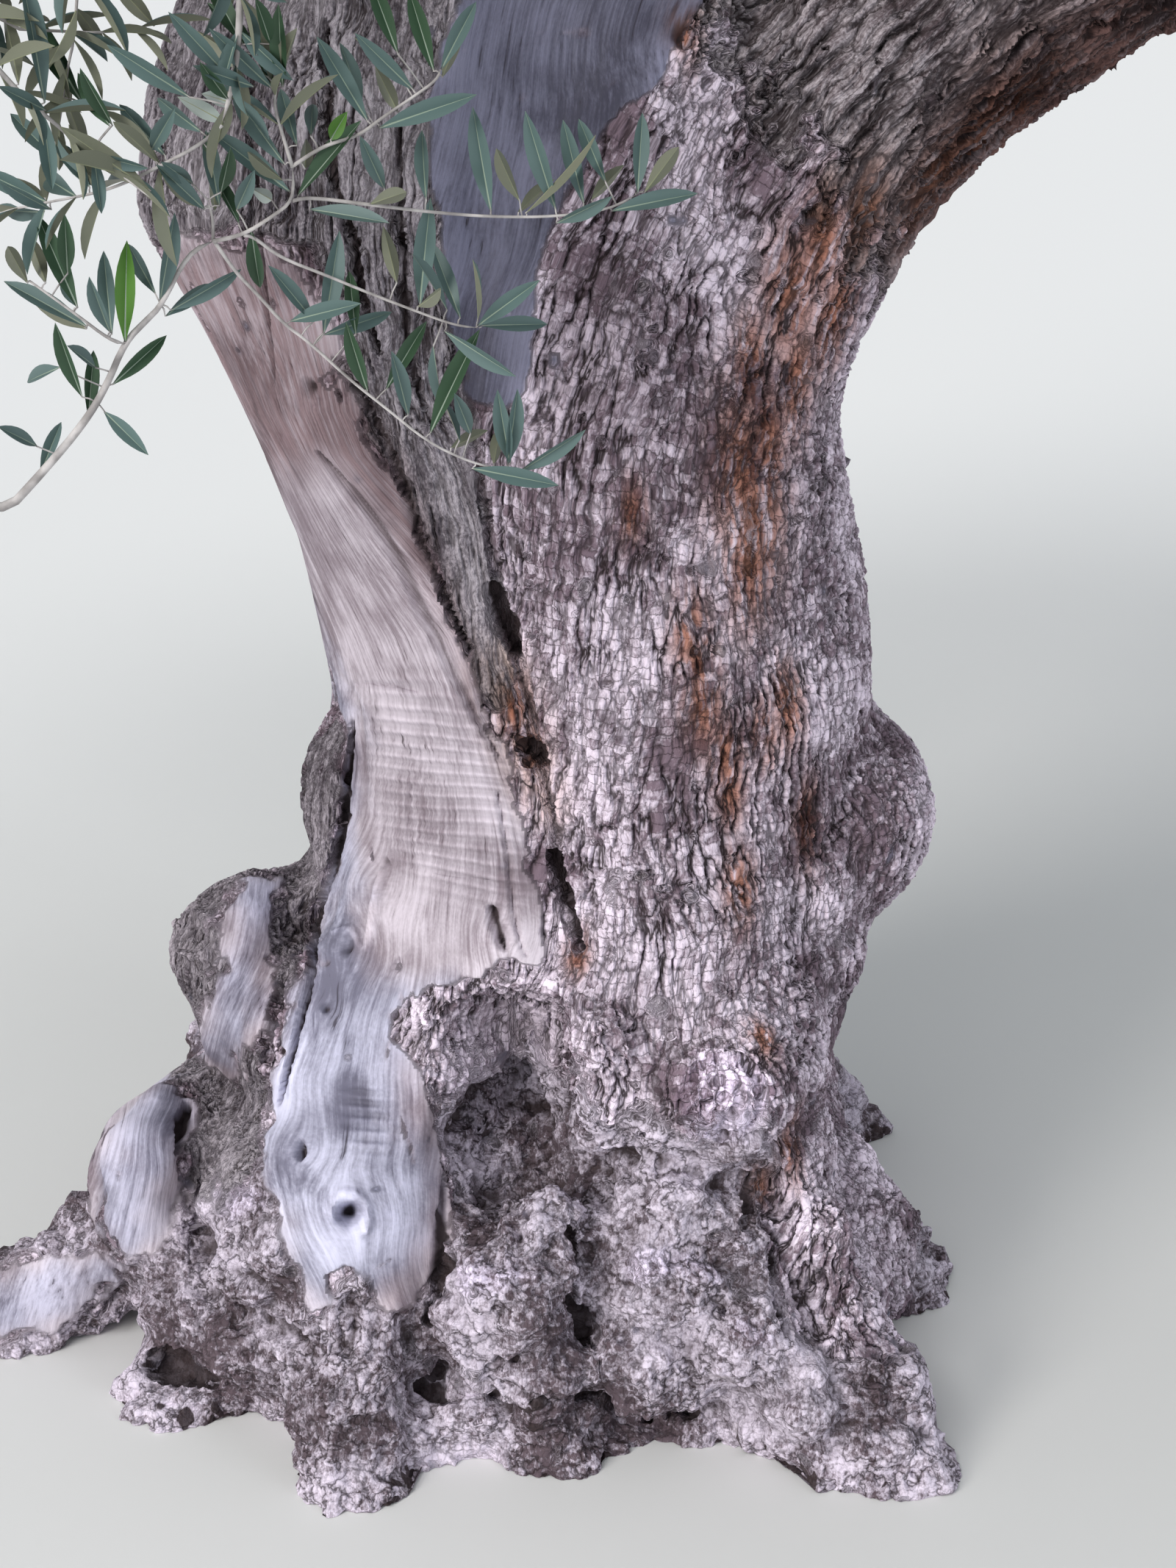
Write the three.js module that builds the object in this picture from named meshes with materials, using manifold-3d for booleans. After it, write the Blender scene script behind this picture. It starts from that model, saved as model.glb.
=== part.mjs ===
// An old olive tree, rooted in the ground: a short flaring trunk, its boughs and its masses of foliage.
// Millimetres, +Z up. The origin lies at ground level under the middle of the trunk's waist, +X is the
// side that the great bough leans to, and -Y is the front, which carries the bare wood.

import * as THREE from 'three';
import { ConvexGeometry } from 'three/addons/geometries/ConvexGeometry.js';
import { mergeVertices } from 'three/addons/utils/BufferGeometryUtils.js';
import Module from 'manifold-3d';

const wasm = await Module();
wasm.setup();

// Driving dimensions of the whole tree
const clearance = 0.3;
const crown = { x: 250, y: 0 };
const ground = { width: 3000, depth: 600 };

// Outline of the trunk's body at each height: how far it reaches to the left, right, front and back
const trunkSides = 26;
const trunkOutline = [
  { z: -40, left: -335, right: 378, front: -315, back: 312 },
  { z: 90, left: -322, right: 372, front: -302, back: 300 },
  { z: 200, left: -280, right: 362, front: -286, back: 276 },
  { z: 330, left: -226, right: 362, front: -272, back: 258 },
  { z: 480, left: -172, right: 368, front: -254, back: 244 },
  { z: 640, left: -148, right: 364, front: -238, back: 232 },
  { z: 800, left: -178, right: 346, front: -224, back: 220 },
  { z: 950, left: -240, right: 340, front: -214, back: 212 },
  { z: 1090, left: -300, right: 348, front: -210, back: 206 },
  { z: 1200, left: -274, right: 330, front: -204, back: 200 },
  { z: 1300, left: -236, right: 285, front: -176, back: 172 },
  { z: 1355, left: -130, right: 190, front: -110, back: 108 },
];

// Cut faces where the two great limbs leave the trunk
const boughSeat = { x: 425, y: 0, z: 1300, azimuth: 0, rise: 33, radius: 152 };
const leaderSeat = { x: -45, y: 0, z: 1420, azimuth: 180, rise: 84, radius: 190 };
const stubFacets = { sides: 14, steps: 5 };

// Buttress roots: where each leaves the trunk, how far out it dies into the ground, and its thickness
const roots = [
  { azimuth: 196, reach: 640, height: 165, butt: 84, tip: 38 },
  { azimuth: 222, reach: 430, height: 330, butt: 118, tip: 60 },
  { azimuth: 252, reach: 410, height: 330, butt: 122, tip: 66 },
  { azimuth: 287, reach: 345, height: 260, butt: 104, tip: 62 },
  { azimuth: 316, reach: 560, height: 330, butt: 128, tip: 58 },
  { azimuth: 352, reach: 455, height: 280, butt: 108, tip: 62 },
  { azimuth: 35, reach: 500, height: 300, butt: 116, tip: 54 },
  { azimuth: 88, reach: 430, height: 310, butt: 124, tip: 62 },
  { azimuth: 140, reach: 500, height: 300, butt: 116, tip: 50 },
];

// Burls on the lower trunk: where each lies, its size, and how far it stands out of the bark
const burls = [
  { azimuth: 358, z: 508, radius: 130, stands: 74, flat: 0.9 },
  { azimuth: 306, z: 346, radius: 150, stands: 52, flat: 0.9 },
  { azimuth: 276, z: 160, radius: 135, stands: 50, flat: 0.8 },
  { azimuth: 305, z: 150, radius: 140, stands: 52, flat: 0.8 },
  { azimuth: 226, z: 150, radius: 140, stands: 50, flat: 0.9 },
  { azimuth: 189, z: 368, radius: 104, stands: 112, flat: 0.9 },
  { azimuth: 196, z: 548, radius: 90, stands: 32, flat: 1.1 },
  { azimuth: 198, z: 150, radius: 120, stands: 104, flat: 0.95 },
  { azimuth: 40, z: 420, radius: 150, stands: 48, flat: 1 },
  { azimuth: 105, z: 300, radius: 150, stands: 50, flat: 0.9 },
  { azimuth: 150, z: 470, radius: 110, stands: 40, flat: 1.1 },
];

// The limbs in the order they grow. Each leaves its parent at a share of the parent's length, or its
// seat on the trunk, and ends at a place given from the crown's axis, or at the mass that it carries,
// which has the bough's name without the word bough.
// Each sways to one side and back by a share of its length, to the other side than the one before it.
const limbSides = { great: 12, bough: 8 };
const limbSteps = { great: 8, bough: 6 };
const sway = 0.07;
const limbs = [
  { name: 'right_bough', seat: boughSeat, tip: 122, great: true,
    end: { azimuth: 0, radius: 800, height: 1750 } },
  { name: 'left_leader', seat: leaderSeat, tip: 138, great: true,
    end: { azimuth: 184, radius: 395, height: 1880 } },
  { name: 'centre_leader', parent: 'left_leader', at: 1, butt: 118, tip: 74, great: true,
    end: { azimuth: 150, radius: 180, height: 2460 } },
  { name: 'right_riser', parent: 'right_bough', at: 1, butt: 104, tip: 68, great: true,
    end: { azimuth: 10, radius: 720, height: 2330 } },
  { name: 'skirt_bough_east', parent: 'right_bough', at: 0.84, butt: 74, tip: 30 },
  { name: 'skirt_bough_north_east', parent: 'right_bough', at: 0.62, butt: 78, tip: 30 },
  { name: 'skirt_bough_south_east', parent: 'right_bough', at: 0.45, butt: 76, tip: 30 },
  { name: 'skirt_bough_north', parent: 'left_leader', at: 0.5, butt: 78, tip: 30 },
  { name: 'skirt_bough_north_west', parent: 'left_leader', at: 0.8, butt: 78, tip: 30 },
  { name: 'skirt_bough_south_west', parent: 'left_leader', at: 0.7, butt: 78, tip: 30 },
  { name: 'skirt_bough_south', parent: 'left_leader', at: 0.4, butt: 76, tip: 30 },
  { name: 'shoulder_bough_east', parent: 'right_riser', at: 0.7, butt: 58, tip: 26 },
  { name: 'shoulder_bough_south_east', parent: 'right_riser', at: 0.45, butt: 58, tip: 26 },
  { name: 'shoulder_bough_north', parent: 'centre_leader', at: 0.62, butt: 60, tip: 26 },
  { name: 'shoulder_bough_west', parent: 'centre_leader', at: 0.4, butt: 60, tip: 26 },
  { name: 'shoulder_bough_south_west', parent: 'centre_leader', at: 0.8, butt: 56, tip: 26 },
  { name: 'top_bough_west', parent: 'centre_leader', at: 1, butt: 70, tip: 28 },
  { name: 'top_bough_east', parent: 'right_riser', at: 1, butt: 62, tip: 26 },
  { name: 'hanging_bough', parent: 'left_leader', at: 0.16, butt: 26, tip: 10,
    end: { azimuth: 224, radius: 690, height: 1560 } },
];

// Masses of foliage: the middle of each from the crown's axis, and its reach along X, Y and Z. A fine
// one carries the short sprays that hang before the trunk.
const masses = [
  { name: 'skirt_east', azimuth: 0, radius: 1400, height: 2020, reach: [700, 700, 550] },
  { name: 'skirt_north_east', azimuth: 51, radius: 1320, height: 2080, reach: [700, 700, 560] },
  { name: 'skirt_north', azimuth: 103, radius: 1310, height: 2050, reach: [700, 700, 560] },
  { name: 'skirt_north_west', azimuth: 154, radius: 1340, height: 2090, reach: [700, 700, 560] },
  { name: 'skirt_south_west', azimuth: 206, radius: 1340, height: 2050, reach: [700, 700, 560] },
  { name: 'skirt_south', azimuth: 257, radius: 1310, height: 2090, reach: [700, 700, 550] },
  { name: 'skirt_south_east', azimuth: 309, radius: 1320, height: 2060, reach: [700, 700, 560] },
  { name: 'shoulder_east', azimuth: 18, radius: 850, height: 2840, reach: [700, 700, 560] },
  { name: 'shoulder_north', azimuth: 90, radius: 800, height: 2870, reach: [700, 700, 560] },
  { name: 'shoulder_west', azimuth: 162, radius: 850, height: 2840, reach: [700, 700, 560] },
  { name: 'shoulder_south_west', azimuth: 234, radius: 830, height: 2860, reach: [700, 700, 560] },
  { name: 'shoulder_south_east', azimuth: 306, radius: 830, height: 2830, reach: [700, 700, 560] },
  { name: 'top_west', azimuth: 172, radius: 330, height: 3410, reach: [640, 660, 520] },
  { name: 'top_east', azimuth: 352, radius: 370, height: 3380, reach: [640, 660, 520] },
  { name: 'hanging', azimuth: 229, radius: 610, height: 1290, reach: [430, 230, 330], fine: true },
];
const spray = { length: 300, width: 96, twigRadius: 7, perMass: 50 };
const fineSpray = { length: 130, width: 32, twigRadius: 4, perMass: 44 };

// How limbs bend: the pull of their aim where they leave a parent, the length of their two bends as a
// share of their own, how much they turn up at the end, and how deep they reach into their mass
const limbBend = { aim: 1.4, leave: 0.36, arrive: 0.33, lift: 0.25, entry: 0.42 };
// How a root bends, as shares of its reach and height: where it leaves, its two bends, and its dip
const rootBend = { start: 0.3, bendOut: 0.55, bendHeight: 0.62, footOut: 0.72, footHeight: 0.12, dip: 0.7 };
const rootFacets = { sides: 9, steps: 5 };
// Where the two stubs begin, deep in the trunk
const boughStub = { x: 150, z: 820, leanX: 20, leanZ: 200, radius: 178 };
const leaderStub = { x: -25, z: 900, leanX: -10, leanZ: 180, radius: 172 };

// How a mass fills its space: the depth of most sprays and of every fourth, and how far each is shaken
const fill = { outer: 0.76, inner: 0.42, innerEvery: 4, shake: 0.16, extra: 3 };
// How its twigs grow: sprays on the last twig, the share of the way that a twig goes, the stem's length
// and width, the height of the point at a twig's end, and the slant past which nothing grows from a face
const growth = {
  spraysPerTwig: 3, way: 0.5, lastWay: 0.62, shorter: 0.7, stemLength: 0.3, stemWidth: 0.9, pointHeight: 0.7,
  waist: 0.42, leastSquareness: 0.12,
};
const spaceMargin = 6;
const limbMargin = 4;
const thirdTurn = 2 * Math.PI / 3;
const weldReach = 1e-3;

// Seeds of the numbers that shake the sprays' places and turn their blades
const shakeSeed = { eachMass: 97, first: 11 };
const turnSeed = { eachMass: 131, first: 7 };
const stream = { times: 1664525, plus: 1013904223, range: 2 ** 32 };

const barkMaterial = new THREE.MeshStandardMaterial({ color: 0x8b7f76, roughness: 0.93, metalness: 0 });
const boughMaterial = new THREE.MeshStandardMaterial({ color: 0x7a6d63, roughness: 0.94, metalness: 0 });
const foliageMaterial = new THREE.MeshStandardMaterial({ color: 0x66735a, roughness: 0.62, metalness: 0 });

// Turns a closed three.js geometry into a solid that can be joined and cut
function solidOf(geometry) {
  const bare = geometry.clone();
  bare.deleteAttribute('normal');
  bare.deleteAttribute('uv');
  const merged = mergeVertices(bare, weldReach);
  return new wasm.Manifold(new wasm.Mesh({
    numProp: 3,
    vertProperties: Float32Array.from(merged.attributes.position.array),
    triVerts: Uint32Array.from(merged.index.array),
  }));
}

// The largest body of a solid: drops loose scraps and fills hollows that the joining sealed
function mainBody(solid) {
  const bodies = solid.decompose();
  bodies.sort((a, b) => b.volume() - a.volume());
  return bodies[0];
}

function joined(solids) {
  return mainBody(solids.reduce((whole, next) => whole.add(next)));
}

function meshOf(name, solid, material) {
  const { vertProperties, triVerts } = solid.getMesh();
  const geometry = new THREE.BufferGeometry();
  geometry.setAttribute('position', new THREE.BufferAttribute(vertProperties, 3));
  geometry.setIndex(new THREE.BufferAttribute(triVerts, 1));
  geometry.computeVertexNormals();
  const mesh = new THREE.Mesh(geometry, material);
  mesh.name = name;
  return mesh;
}

function radians(degrees) {
  return THREE.MathUtils.degToRad(degrees);
}

function heading(azimuth, rise) {
  const flat = Math.cos(radians(rise));
  return new THREE.Vector3(
    flat * Math.cos(radians(azimuth)),
    flat * Math.sin(radians(azimuth)),
    Math.sin(radians(rise)),
  );
}

function fromCrownAxis({ azimuth, radius, height }) {
  return new THREE.Vector3(
    crown.x + radius * Math.cos(radians(azimuth)),
    crown.y + radius * Math.sin(radians(azimuth)),
    height,
  );
}

// A seeded stream of numbers from 0 to 1, the same on every run
function numberStream(mass, seed) {
  let state = masses.indexOf(mass) * seed.eachMass + seed.first;
  return () => {
    state = (state * stream.times + stream.plus) % stream.range;
    return state / stream.range;
  };
}

// A closed tapering tube along a curve, with flat ends square to it. grown makes it fatter all round.
function tubeSolid({ curve, radiusAt, sides, steps }, grown = 0) {
  const tube = new THREE.CylinderGeometry(1, 1, 1, sides, steps);
  const frames = curve.computeFrenetFrames(steps);
  const place = tube.attributes.position;
  const local = new THREE.Vector3();
  for (let i = 0; i < place.count; i += 1) {
    local.fromBufferAttribute(place, i);
    const step = Math.round((local.y + 0.5) * steps);
    const share = step / steps;
    const radius = radiusAt(share) + grown;
    const overrun = grown * (Number(step === steps) - Number(step === 0));
    const point = curve.getPointAt(share)
      .addScaledVector(frames.tangents[step], overrun)
      .addScaledVector(frames.normals[step], local.x * radius)
      .addScaledVector(frames.binormals[step], -local.z * radius);
    place.setXYZ(i, point.x, point.y, point.z);
  }
  return solidOf(tube);
}

// The trunk's body: a cylinder whose rings take the outline's shape at each height
function trunkBody() {
  const steps = trunkOutline.length - 1;
  const body = new THREE.CylinderGeometry(1, 1, 1, trunkSides, steps);
  const place = body.attributes.position;
  const local = new THREE.Vector3();
  for (let i = 0; i < place.count; i += 1) {
    local.fromBufferAttribute(place, i);
    const { z, left, right, front, back } = trunkOutline[Math.round((local.y + 0.5) * steps)];
    const across = local.x;
    const away = -local.z;
    place.setXYZ(
      i,
      (left + right) / 2 + across * (right - left) / 2,
      (front + back) / 2 + away * (back - front) / 2,
      z,
    );
  }
  return solidOf(body);
}

// A short limb from deep in the trunk out to the cut face where a bough begins
function stub(seat, inside) {
  const start = new THREE.Vector3(inside.x, 0, inside.z);
  const end = new THREE.Vector3(seat.x, seat.y, seat.z);
  const lean = heading(seat.azimuth, seat.rise).multiplyScalar(end.distanceTo(start) / 3);
  const curve = new THREE.CubicBezierCurve3(
    start,
    start.clone().add(new THREE.Vector3(inside.leanX, 0, inside.leanZ)),
    end.clone().sub(lean),
    end,
  );
  const radiusAt = (share) => THREE.MathUtils.lerp(inside.radius, seat.radius, share);
  return tubeSolid({ curve, radiusAt, ...stubFacets });
}

function rootSolid({ azimuth, reach, height, butt, tip }) {
  const out = heading(azimuth, 0);
  const up = new THREE.Vector3(0, 0, 1);
  const curve = new THREE.CubicBezierCurve3(
    out.clone().multiplyScalar(reach * rootBend.start).addScaledVector(up, height),
    out.clone().multiplyScalar(reach * rootBend.bendOut).addScaledVector(up, height * rootBend.bendHeight),
    out.clone().multiplyScalar(reach * rootBend.footOut).addScaledVector(up, height * rootBend.footHeight),
    out.clone().multiplyScalar(reach).addScaledVector(up, -tip * rootBend.dip),
  );
  return tubeSolid({ curve, radiusAt: (share) => THREE.MathUtils.lerp(butt, tip, share), ...rootFacets });
}

// The trunk's reach at a height, halfway between the two nearest outlines where it falls between them
function outlineAt(z) {
  const upper = trunkOutline.findIndex((ring) => ring.z >= z);
  const low = trunkOutline[upper - 1];
  const high = trunkOutline[upper];
  const share = (z - low.z) / (high.z - low.z);
  const between = (side) => THREE.MathUtils.lerp(low[side], high[side], share);
  return { left: between('left'), right: between('right'), front: between('front'), back: between('back') };
}

function burlSolid({ azimuth, z, radius, stands, flat }) {
  const { left, right, front, back } = outlineAt(z);
  const depth = radius - stands;
  const burl = new THREE.IcosahedronGeometry(radius, 1);
  burl.scale(1, 1, flat);
  burl.translate(
    (left + right) / 2 + Math.cos(radians(azimuth)) * ((right - left) / 2 - depth),
    (front + back) / 2 + Math.sin(radians(azimuth)) * ((back - front) / 2 - depth),
    z,
  );
  return solidOf(burl);
}

function trunkSolid() {
  const below = new THREE.BoxGeometry(ground.width, ground.width, ground.depth);
  below.translate(0, 0, -ground.depth / 2);
  const whole = joined([
    trunkBody(),
    stub(boughSeat, boughStub),
    stub(leaderSeat, leaderStub),
    ...roots.map(rootSolid),
    ...burls.map(burlSolid),
  ]);
  return mainBody(whole.subtract(solidOf(below)));
}

function massName(limb) {
  return limb.name.replace('_bough', '');
}

// Works out each limb's curve: it leaves half along its parent and half towards its end, then bends up
function shapeLimbs() {
  const shaped = new Map();
  for (const limb of limbs) {
    const great = limb.great === true;
    const mass = masses.find((one) => one.name === massName(limb));
    const centre = mass ? fromCrownAxis(mass) : null;
    let start;
    let leave;
    let butt;
    if (limb.seat) {
      leave = heading(limb.seat.azimuth, limb.seat.rise);
      start = new THREE.Vector3(limb.seat.x, limb.seat.y, limb.seat.z).addScaledVector(leave, clearance);
      butt = limb.seat.radius;
    } else {
      const parent = shaped.get(limb.parent);
      const goesOn = limb.at === 1;
      start = parent.curve.getPointAt(limb.at);
      leave = parent.curve.getTangentAt(limb.at);
      butt = limb.butt;
      if (goesOn) start.addScaledVector(leave, clearance);
    }
    const aim = centre ?? fromCrownAxis(limb.end);
    const towards = aim.clone().sub(start).normalize();
    if (!limb.seat && limb.at !== 1) leave.addScaledVector(towards, limbBend.aim).normalize();
    const entry = limb.end
      ? fromCrownAxis(limb.end)
      : centre.clone().addScaledVector(towards, -mass.reach[0] * limbBend.entry);
    const length = start.distanceTo(entry);
    const arrive = limb.end && centre
      ? centre.clone().sub(entry).normalize()
      : towards.clone().add(new THREE.Vector3(0, 0, limbBend.lift)).normalize();
    const side = new THREE.Vector3(0, 0, 1).cross(towards).normalize();
    const swing = limb.seat ? 0 : length * sway * (shaped.size % 2 === 0 ? 1 : -1);
    const curve = new THREE.CubicBezierCurve3(
      start,
      start.clone().addScaledVector(leave, length * limbBend.leave).addScaledVector(side, swing),
      entry.clone().addScaledVector(arrive, -length * limbBend.arrive).addScaledVector(side, -swing),
      entry,
    );
    shaped.set(limb.name, {
      ...limb,
      curve,
      radiusAt: (share) => THREE.MathUtils.lerp(butt, limb.tip, share),
      sides: great ? limbSides.great : limbSides.bough,
      steps: great ? limbSteps.great : limbSteps.bough,
    });
  }
  return shaped;
}

// Each limb is cut clear of the limbs that grew before it
function limbSolids(shaped) {
  const solids = new Map();
  const earlier = [];
  for (const limb of shaped.values()) {
    let solid = tubeSolid(limb);
    for (const other of earlier) solid = solid.subtract(other);
    solids.set(limb.name, mainBody(solid));
    earlier.push(tubeSolid(limb, clearance));
  }
  return solids;
}

// The space that belongs to one mass: its own reach, up to the planes halfway to its neighbours
function spaceOf(mass) {
  const centre = fromCrownAxis(mass);
  const meanReach = (mass.reach[0] + mass.reach[1] + mass.reach[2]) / 3;
  const planes = masses.filter((other) => other !== mass).map((other) => {
    const away = fromCrownAxis(other).sub(centre);
    const distance = away.length();
    const otherReach = (other.reach[0] + other.reach[1] + other.reach[2]) / 3;
    const share = (distance * distance + meanReach * meanReach - otherReach * otherReach) / (2 * distance);
    return { normal: away.normalize(), limit: share - spaceMargin };
  });
  const offset = new THREE.Vector3();
  const holds = (point) => {
    offset.copy(point).sub(centre);
    const scaled = Math.hypot(offset.x / mass.reach[0], offset.y / mass.reach[1], offset.z / mass.reach[2]);
    return scaled <= 1 && planes.every(({ normal, limit }) => offset.dot(normal) <= limit);
  };
  return { centre, holds };
}

// Places evenly spread through a mass, more of them near its outside. Those that fall in a neighbour's
// space are left out, and the spread is made closer until enough are left.
function targetsOf(mass, space, wanted) {
  const goldenTurn = Math.PI * (3 - Math.sqrt(5));
  let kept = [];
  for (let count = wanted; kept.length < wanted; count += fill.extra) {
    const random = numberStream(mass, shakeSeed);
    const shake = () => (random() - 0.5) * fill.shake;
    kept = [...Array(count).keys()].map((i) => {
      const level = 1 - 2 * (i + 0.5) / count;
      const turn = i * goldenTurn;
      const depth = i % fill.innerEvery === fill.innerEvery - 1 ? fill.inner : fill.outer;
      const flat = Math.sqrt(1 - level * level);
      return new THREE.Vector3(
        space.centre.x + mass.reach[0] * (depth * flat * Math.cos(turn) + shake()),
        space.centre.y + mass.reach[1] * (depth * flat * Math.sin(turn) + shake()),
        space.centre.z + mass.reach[2] * (depth * level + shake()),
      );
    }).filter(space.holds);
  }
  return kept;
}

// Three corners round a place, square to a direction, the first of them towards a given side
function cornersRound(place, along, side, radius) {
  const across = side.clone().projectOnPlane(along).normalize();
  const beside = along.clone().cross(across);
  return [0, 1, 2].map((i) => place.clone()
    .addScaledVector(across, radius * Math.cos(i * thirdTurn))
    .addScaledVector(beside, radius * Math.sin(i * thirdTurn)));
}

// A three-sided twig that grows out of a three-cornered face and ends in a low point of three faces,
// from which the next three can grow
function twigFrom(face, to, radius) {
  const middle = middleOf(face);
  const along = to.clone().sub(middle).normalize();
  const corners = cornersRound(to, along, face[0].clone().sub(middle), radius);
  const point = to.clone().addScaledVector(along, radius * growth.pointHeight);
  return {
    points: [...face, ...corners, point],
    faces: corners.map((corner, i) => [corner, corners[(i + 1) % 3], point]),
  };
}

// One spray of leaves: a slender blade of eight faces whose root is the whole face that it grows from
function sprayFrom(face, target, size, length, roll) {
  const middle = middleOf(face);
  const along = target.clone().sub(middle).normalize();
  const across = face[0].clone().sub(middle).projectOnPlane(along).normalize().applyAxisAngle(along, roll);
  const waist = middle.clone().addScaledVector(along, length * growth.waist);
  return {
    points: [
      ...face,
      waist.clone().addScaledVector(across, size.width / 2),
      waist.clone().addScaledVector(across, -size.width / 2),
      middle.clone().addScaledVector(along, length),
    ],
    faces: [],
  };
}

// Splits places in two across their widest spread
function splitWide(places) {
  const spread = new THREE.Box3().setFromPoints(places).getSize(new THREE.Vector3());
  const axis = ['x', 'y', 'z'].reduce((widest, next) => (spread[next] > spread[widest] ? next : widest));
  const ordered = [...places].sort((a, b) => a[axis] - b[axis]);
  const half = Math.ceil(ordered.length / 2);
  return [ordered.slice(0, half), ordered.slice(half)];
}

function middleOf(places) {
  return places.reduce((sum, place) => sum.add(place), new THREE.Vector3()).divideScalar(places.length);
}

// Whether two solids share any room, tried on their boxes first
function touch(one, other) {
  const a = one.boundingBox();
  const b = other.boundingBox();
  const near = [0, 1, 2].every((axis) => a.min[axis] <= b.max[axis] && b.min[axis] <= a.max[axis]);
  return near && one.intersect(other).volume() > 0;
}

// How squarely a place lies before a face
function squareness(face, place) {
  const normal = face[1].clone().sub(face[0]).cross(face[2].clone().sub(face[0])).normalize();
  return place.clone().sub(middleOf(face)).normalize().dot(normal);
}

// A mass grows from its stem: each twig forks towards the two halves of the places still to be reached,
// until a few are left, and each of those gets a spray
function massSolid(mass, shaped, limbGuards) {
  const size = mass.fine ? fineSpray : spray;
  const space = spaceOf(mass);
  const random = numberStream(mass, turnSeed);
  const bough = [...shaped.values()].find((limb) => massName(limb) === mass.name);
  const leave = bough.curve.getTangentAt(1);
  const stemStart = bough.curve.getPointAt(1).addScaledVector(leave, clearance);
  const stemEnd = stemStart.clone().addScaledVector(leave, size.length * growth.stemLength);
  const stemFace = cornersRound(stemStart, leave, new THREE.Vector3(0, 0, 1), bough.tip * growth.stemWidth);
  const twigRadius = (count) => size.twigRadius * Math.sqrt(Math.max(1, count / growth.spraysPerTwig));
  const targets = targetsOf(mass, space, size.perMass);
  const solids = [];

  const fitted = ({ points, faces }) => {
    if (!points.slice(3).every(space.holds)) return null;
    const solid = solidOf(new ConvexGeometry(points));
    return limbGuards.some((guard) => touch(guard, solid)) ? null : { solid, faces };
  };
  const grow = (faces, groups, makeGrowth) => {
    const free = [...faces];
    for (const group of groups) {
      const aim = middleOf(group);
      free.sort((a, b) => squareness(b, aim) - squareness(a, aim));
      if (free.length === 0 || squareness(free[0], aim) < growth.leastSquareness) continue;
      const face = free.shift();
      const next = fitted(makeGrowth(face, aim, group.length, 1))
        ?? fitted(makeGrowth(face, aim, group.length, growth.shorter));
      if (!next) continue;
      solids.push(next.solid);
      if (next.faces.length === 0) continue;
      const few = group.length <= growth.spraysPerTwig;
      grow(next.faces, few ? group.map((place) => [place]) : splitWide(group), few ? makeSpray : makeTwig);
    }
  };
  const makeSpray = (face, aim, count, share) => (
    sprayFrom(face, aim, size, size.length * share, random() * Math.PI)
  );
  const makeTwig = (face, aim, count, share) => {
    const way = count <= growth.spraysPerTwig ? growth.lastWay : growth.way;
    return twigFrom(face, middleOf(face).lerp(aim, way * share), twigRadius(count));
  };

  const stem = twigFrom(stemFace, stemEnd, twigRadius(targets.length));
  solids.push(solidOf(new ConvexGeometry(stem.points)));
  grow(stem.faces, splitWide(targets), makeTwig);
  return joined(solids);
}

const shapedLimbs = shapeLimbs();
const tree = new THREE.Group();
tree.name = 'olive_tree';

const trunk = new THREE.Group();
trunk.add(meshOf('trunk', trunkSolid(), barkMaterial));
tree.add(trunk);

const boughs = new THREE.Group();
for (const [name, solid] of limbSolids(shapedLimbs)) boughs.add(meshOf(name, solid, boughMaterial));
tree.add(boughs);

const foliage = new THREE.Group();
const limbGuards = [...shapedLimbs.values()].map((limb) => tubeSolid(limb, limbMargin));
for (const mass of masses) {
  foliage.add(meshOf(`foliage_${mass.name}`, massSolid(mass, shapedLimbs, limbGuards), foliageMaterial));
}
tree.add(foliage);

export default tree;
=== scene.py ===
# Old olive tree, in metres: one skin of bark and bare wood over the trunk and its limbs, the twigs and
# leaves of the crown, and the leafy twigs that hang in front of the trunk.
import math

import bpy
import numpy as np
from mathutils import Matrix, Vector
from mathutils.bvhtree import BVHTree


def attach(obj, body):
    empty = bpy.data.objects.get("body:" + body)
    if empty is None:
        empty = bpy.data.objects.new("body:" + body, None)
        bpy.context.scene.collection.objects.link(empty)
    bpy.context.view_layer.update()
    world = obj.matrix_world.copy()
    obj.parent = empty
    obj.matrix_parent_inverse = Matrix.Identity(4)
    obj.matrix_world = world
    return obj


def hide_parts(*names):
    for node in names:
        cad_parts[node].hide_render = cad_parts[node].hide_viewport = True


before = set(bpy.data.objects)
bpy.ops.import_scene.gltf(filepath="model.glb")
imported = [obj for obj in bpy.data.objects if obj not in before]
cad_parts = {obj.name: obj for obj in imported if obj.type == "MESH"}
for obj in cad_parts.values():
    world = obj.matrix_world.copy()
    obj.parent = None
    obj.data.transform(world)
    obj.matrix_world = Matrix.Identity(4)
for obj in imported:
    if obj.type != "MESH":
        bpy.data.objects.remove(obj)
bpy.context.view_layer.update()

view = {
    "place": (0.10, -2.08, 1.35),
    "tilt": 68.6,  # degrees up from looking straight down
    "lens": 52.0,  # millimetres
    "sensor": 36.0,  # millimetres along the picture's height
    "width": 1600,  # pixels
    "height": 2133,
}


def clearSelection():
    if bpy.context.object and bpy.context.object.mode != "OBJECT":
        bpy.ops.object.mode_set(mode="OBJECT")
    bpy.ops.object.select_all(action="DESELECT")


def makeActive(piece):
    clearSelection()
    piece.select_set(True)
    bpy.context.view_layer.objects.active = piece


def applyModifiers(piece):
    makeActive(piece)
    for modifier in list(piece.modifiers):
        bpy.ops.object.modifier_apply(modifier=modifier.name)


def choose(items, chosen, kind):
    # selects vertices or faces, and goes on in edit mode
    bpy.ops.object.mode_set(mode="EDIT")
    bpy.ops.mesh.select_mode(type=kind)
    bpy.ops.mesh.select_all(action="DESELECT")
    bpy.ops.object.mode_set(mode="OBJECT")
    items.foreach_set("select", chosen)
    bpy.ops.object.mode_set(mode="EDIT")


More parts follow.
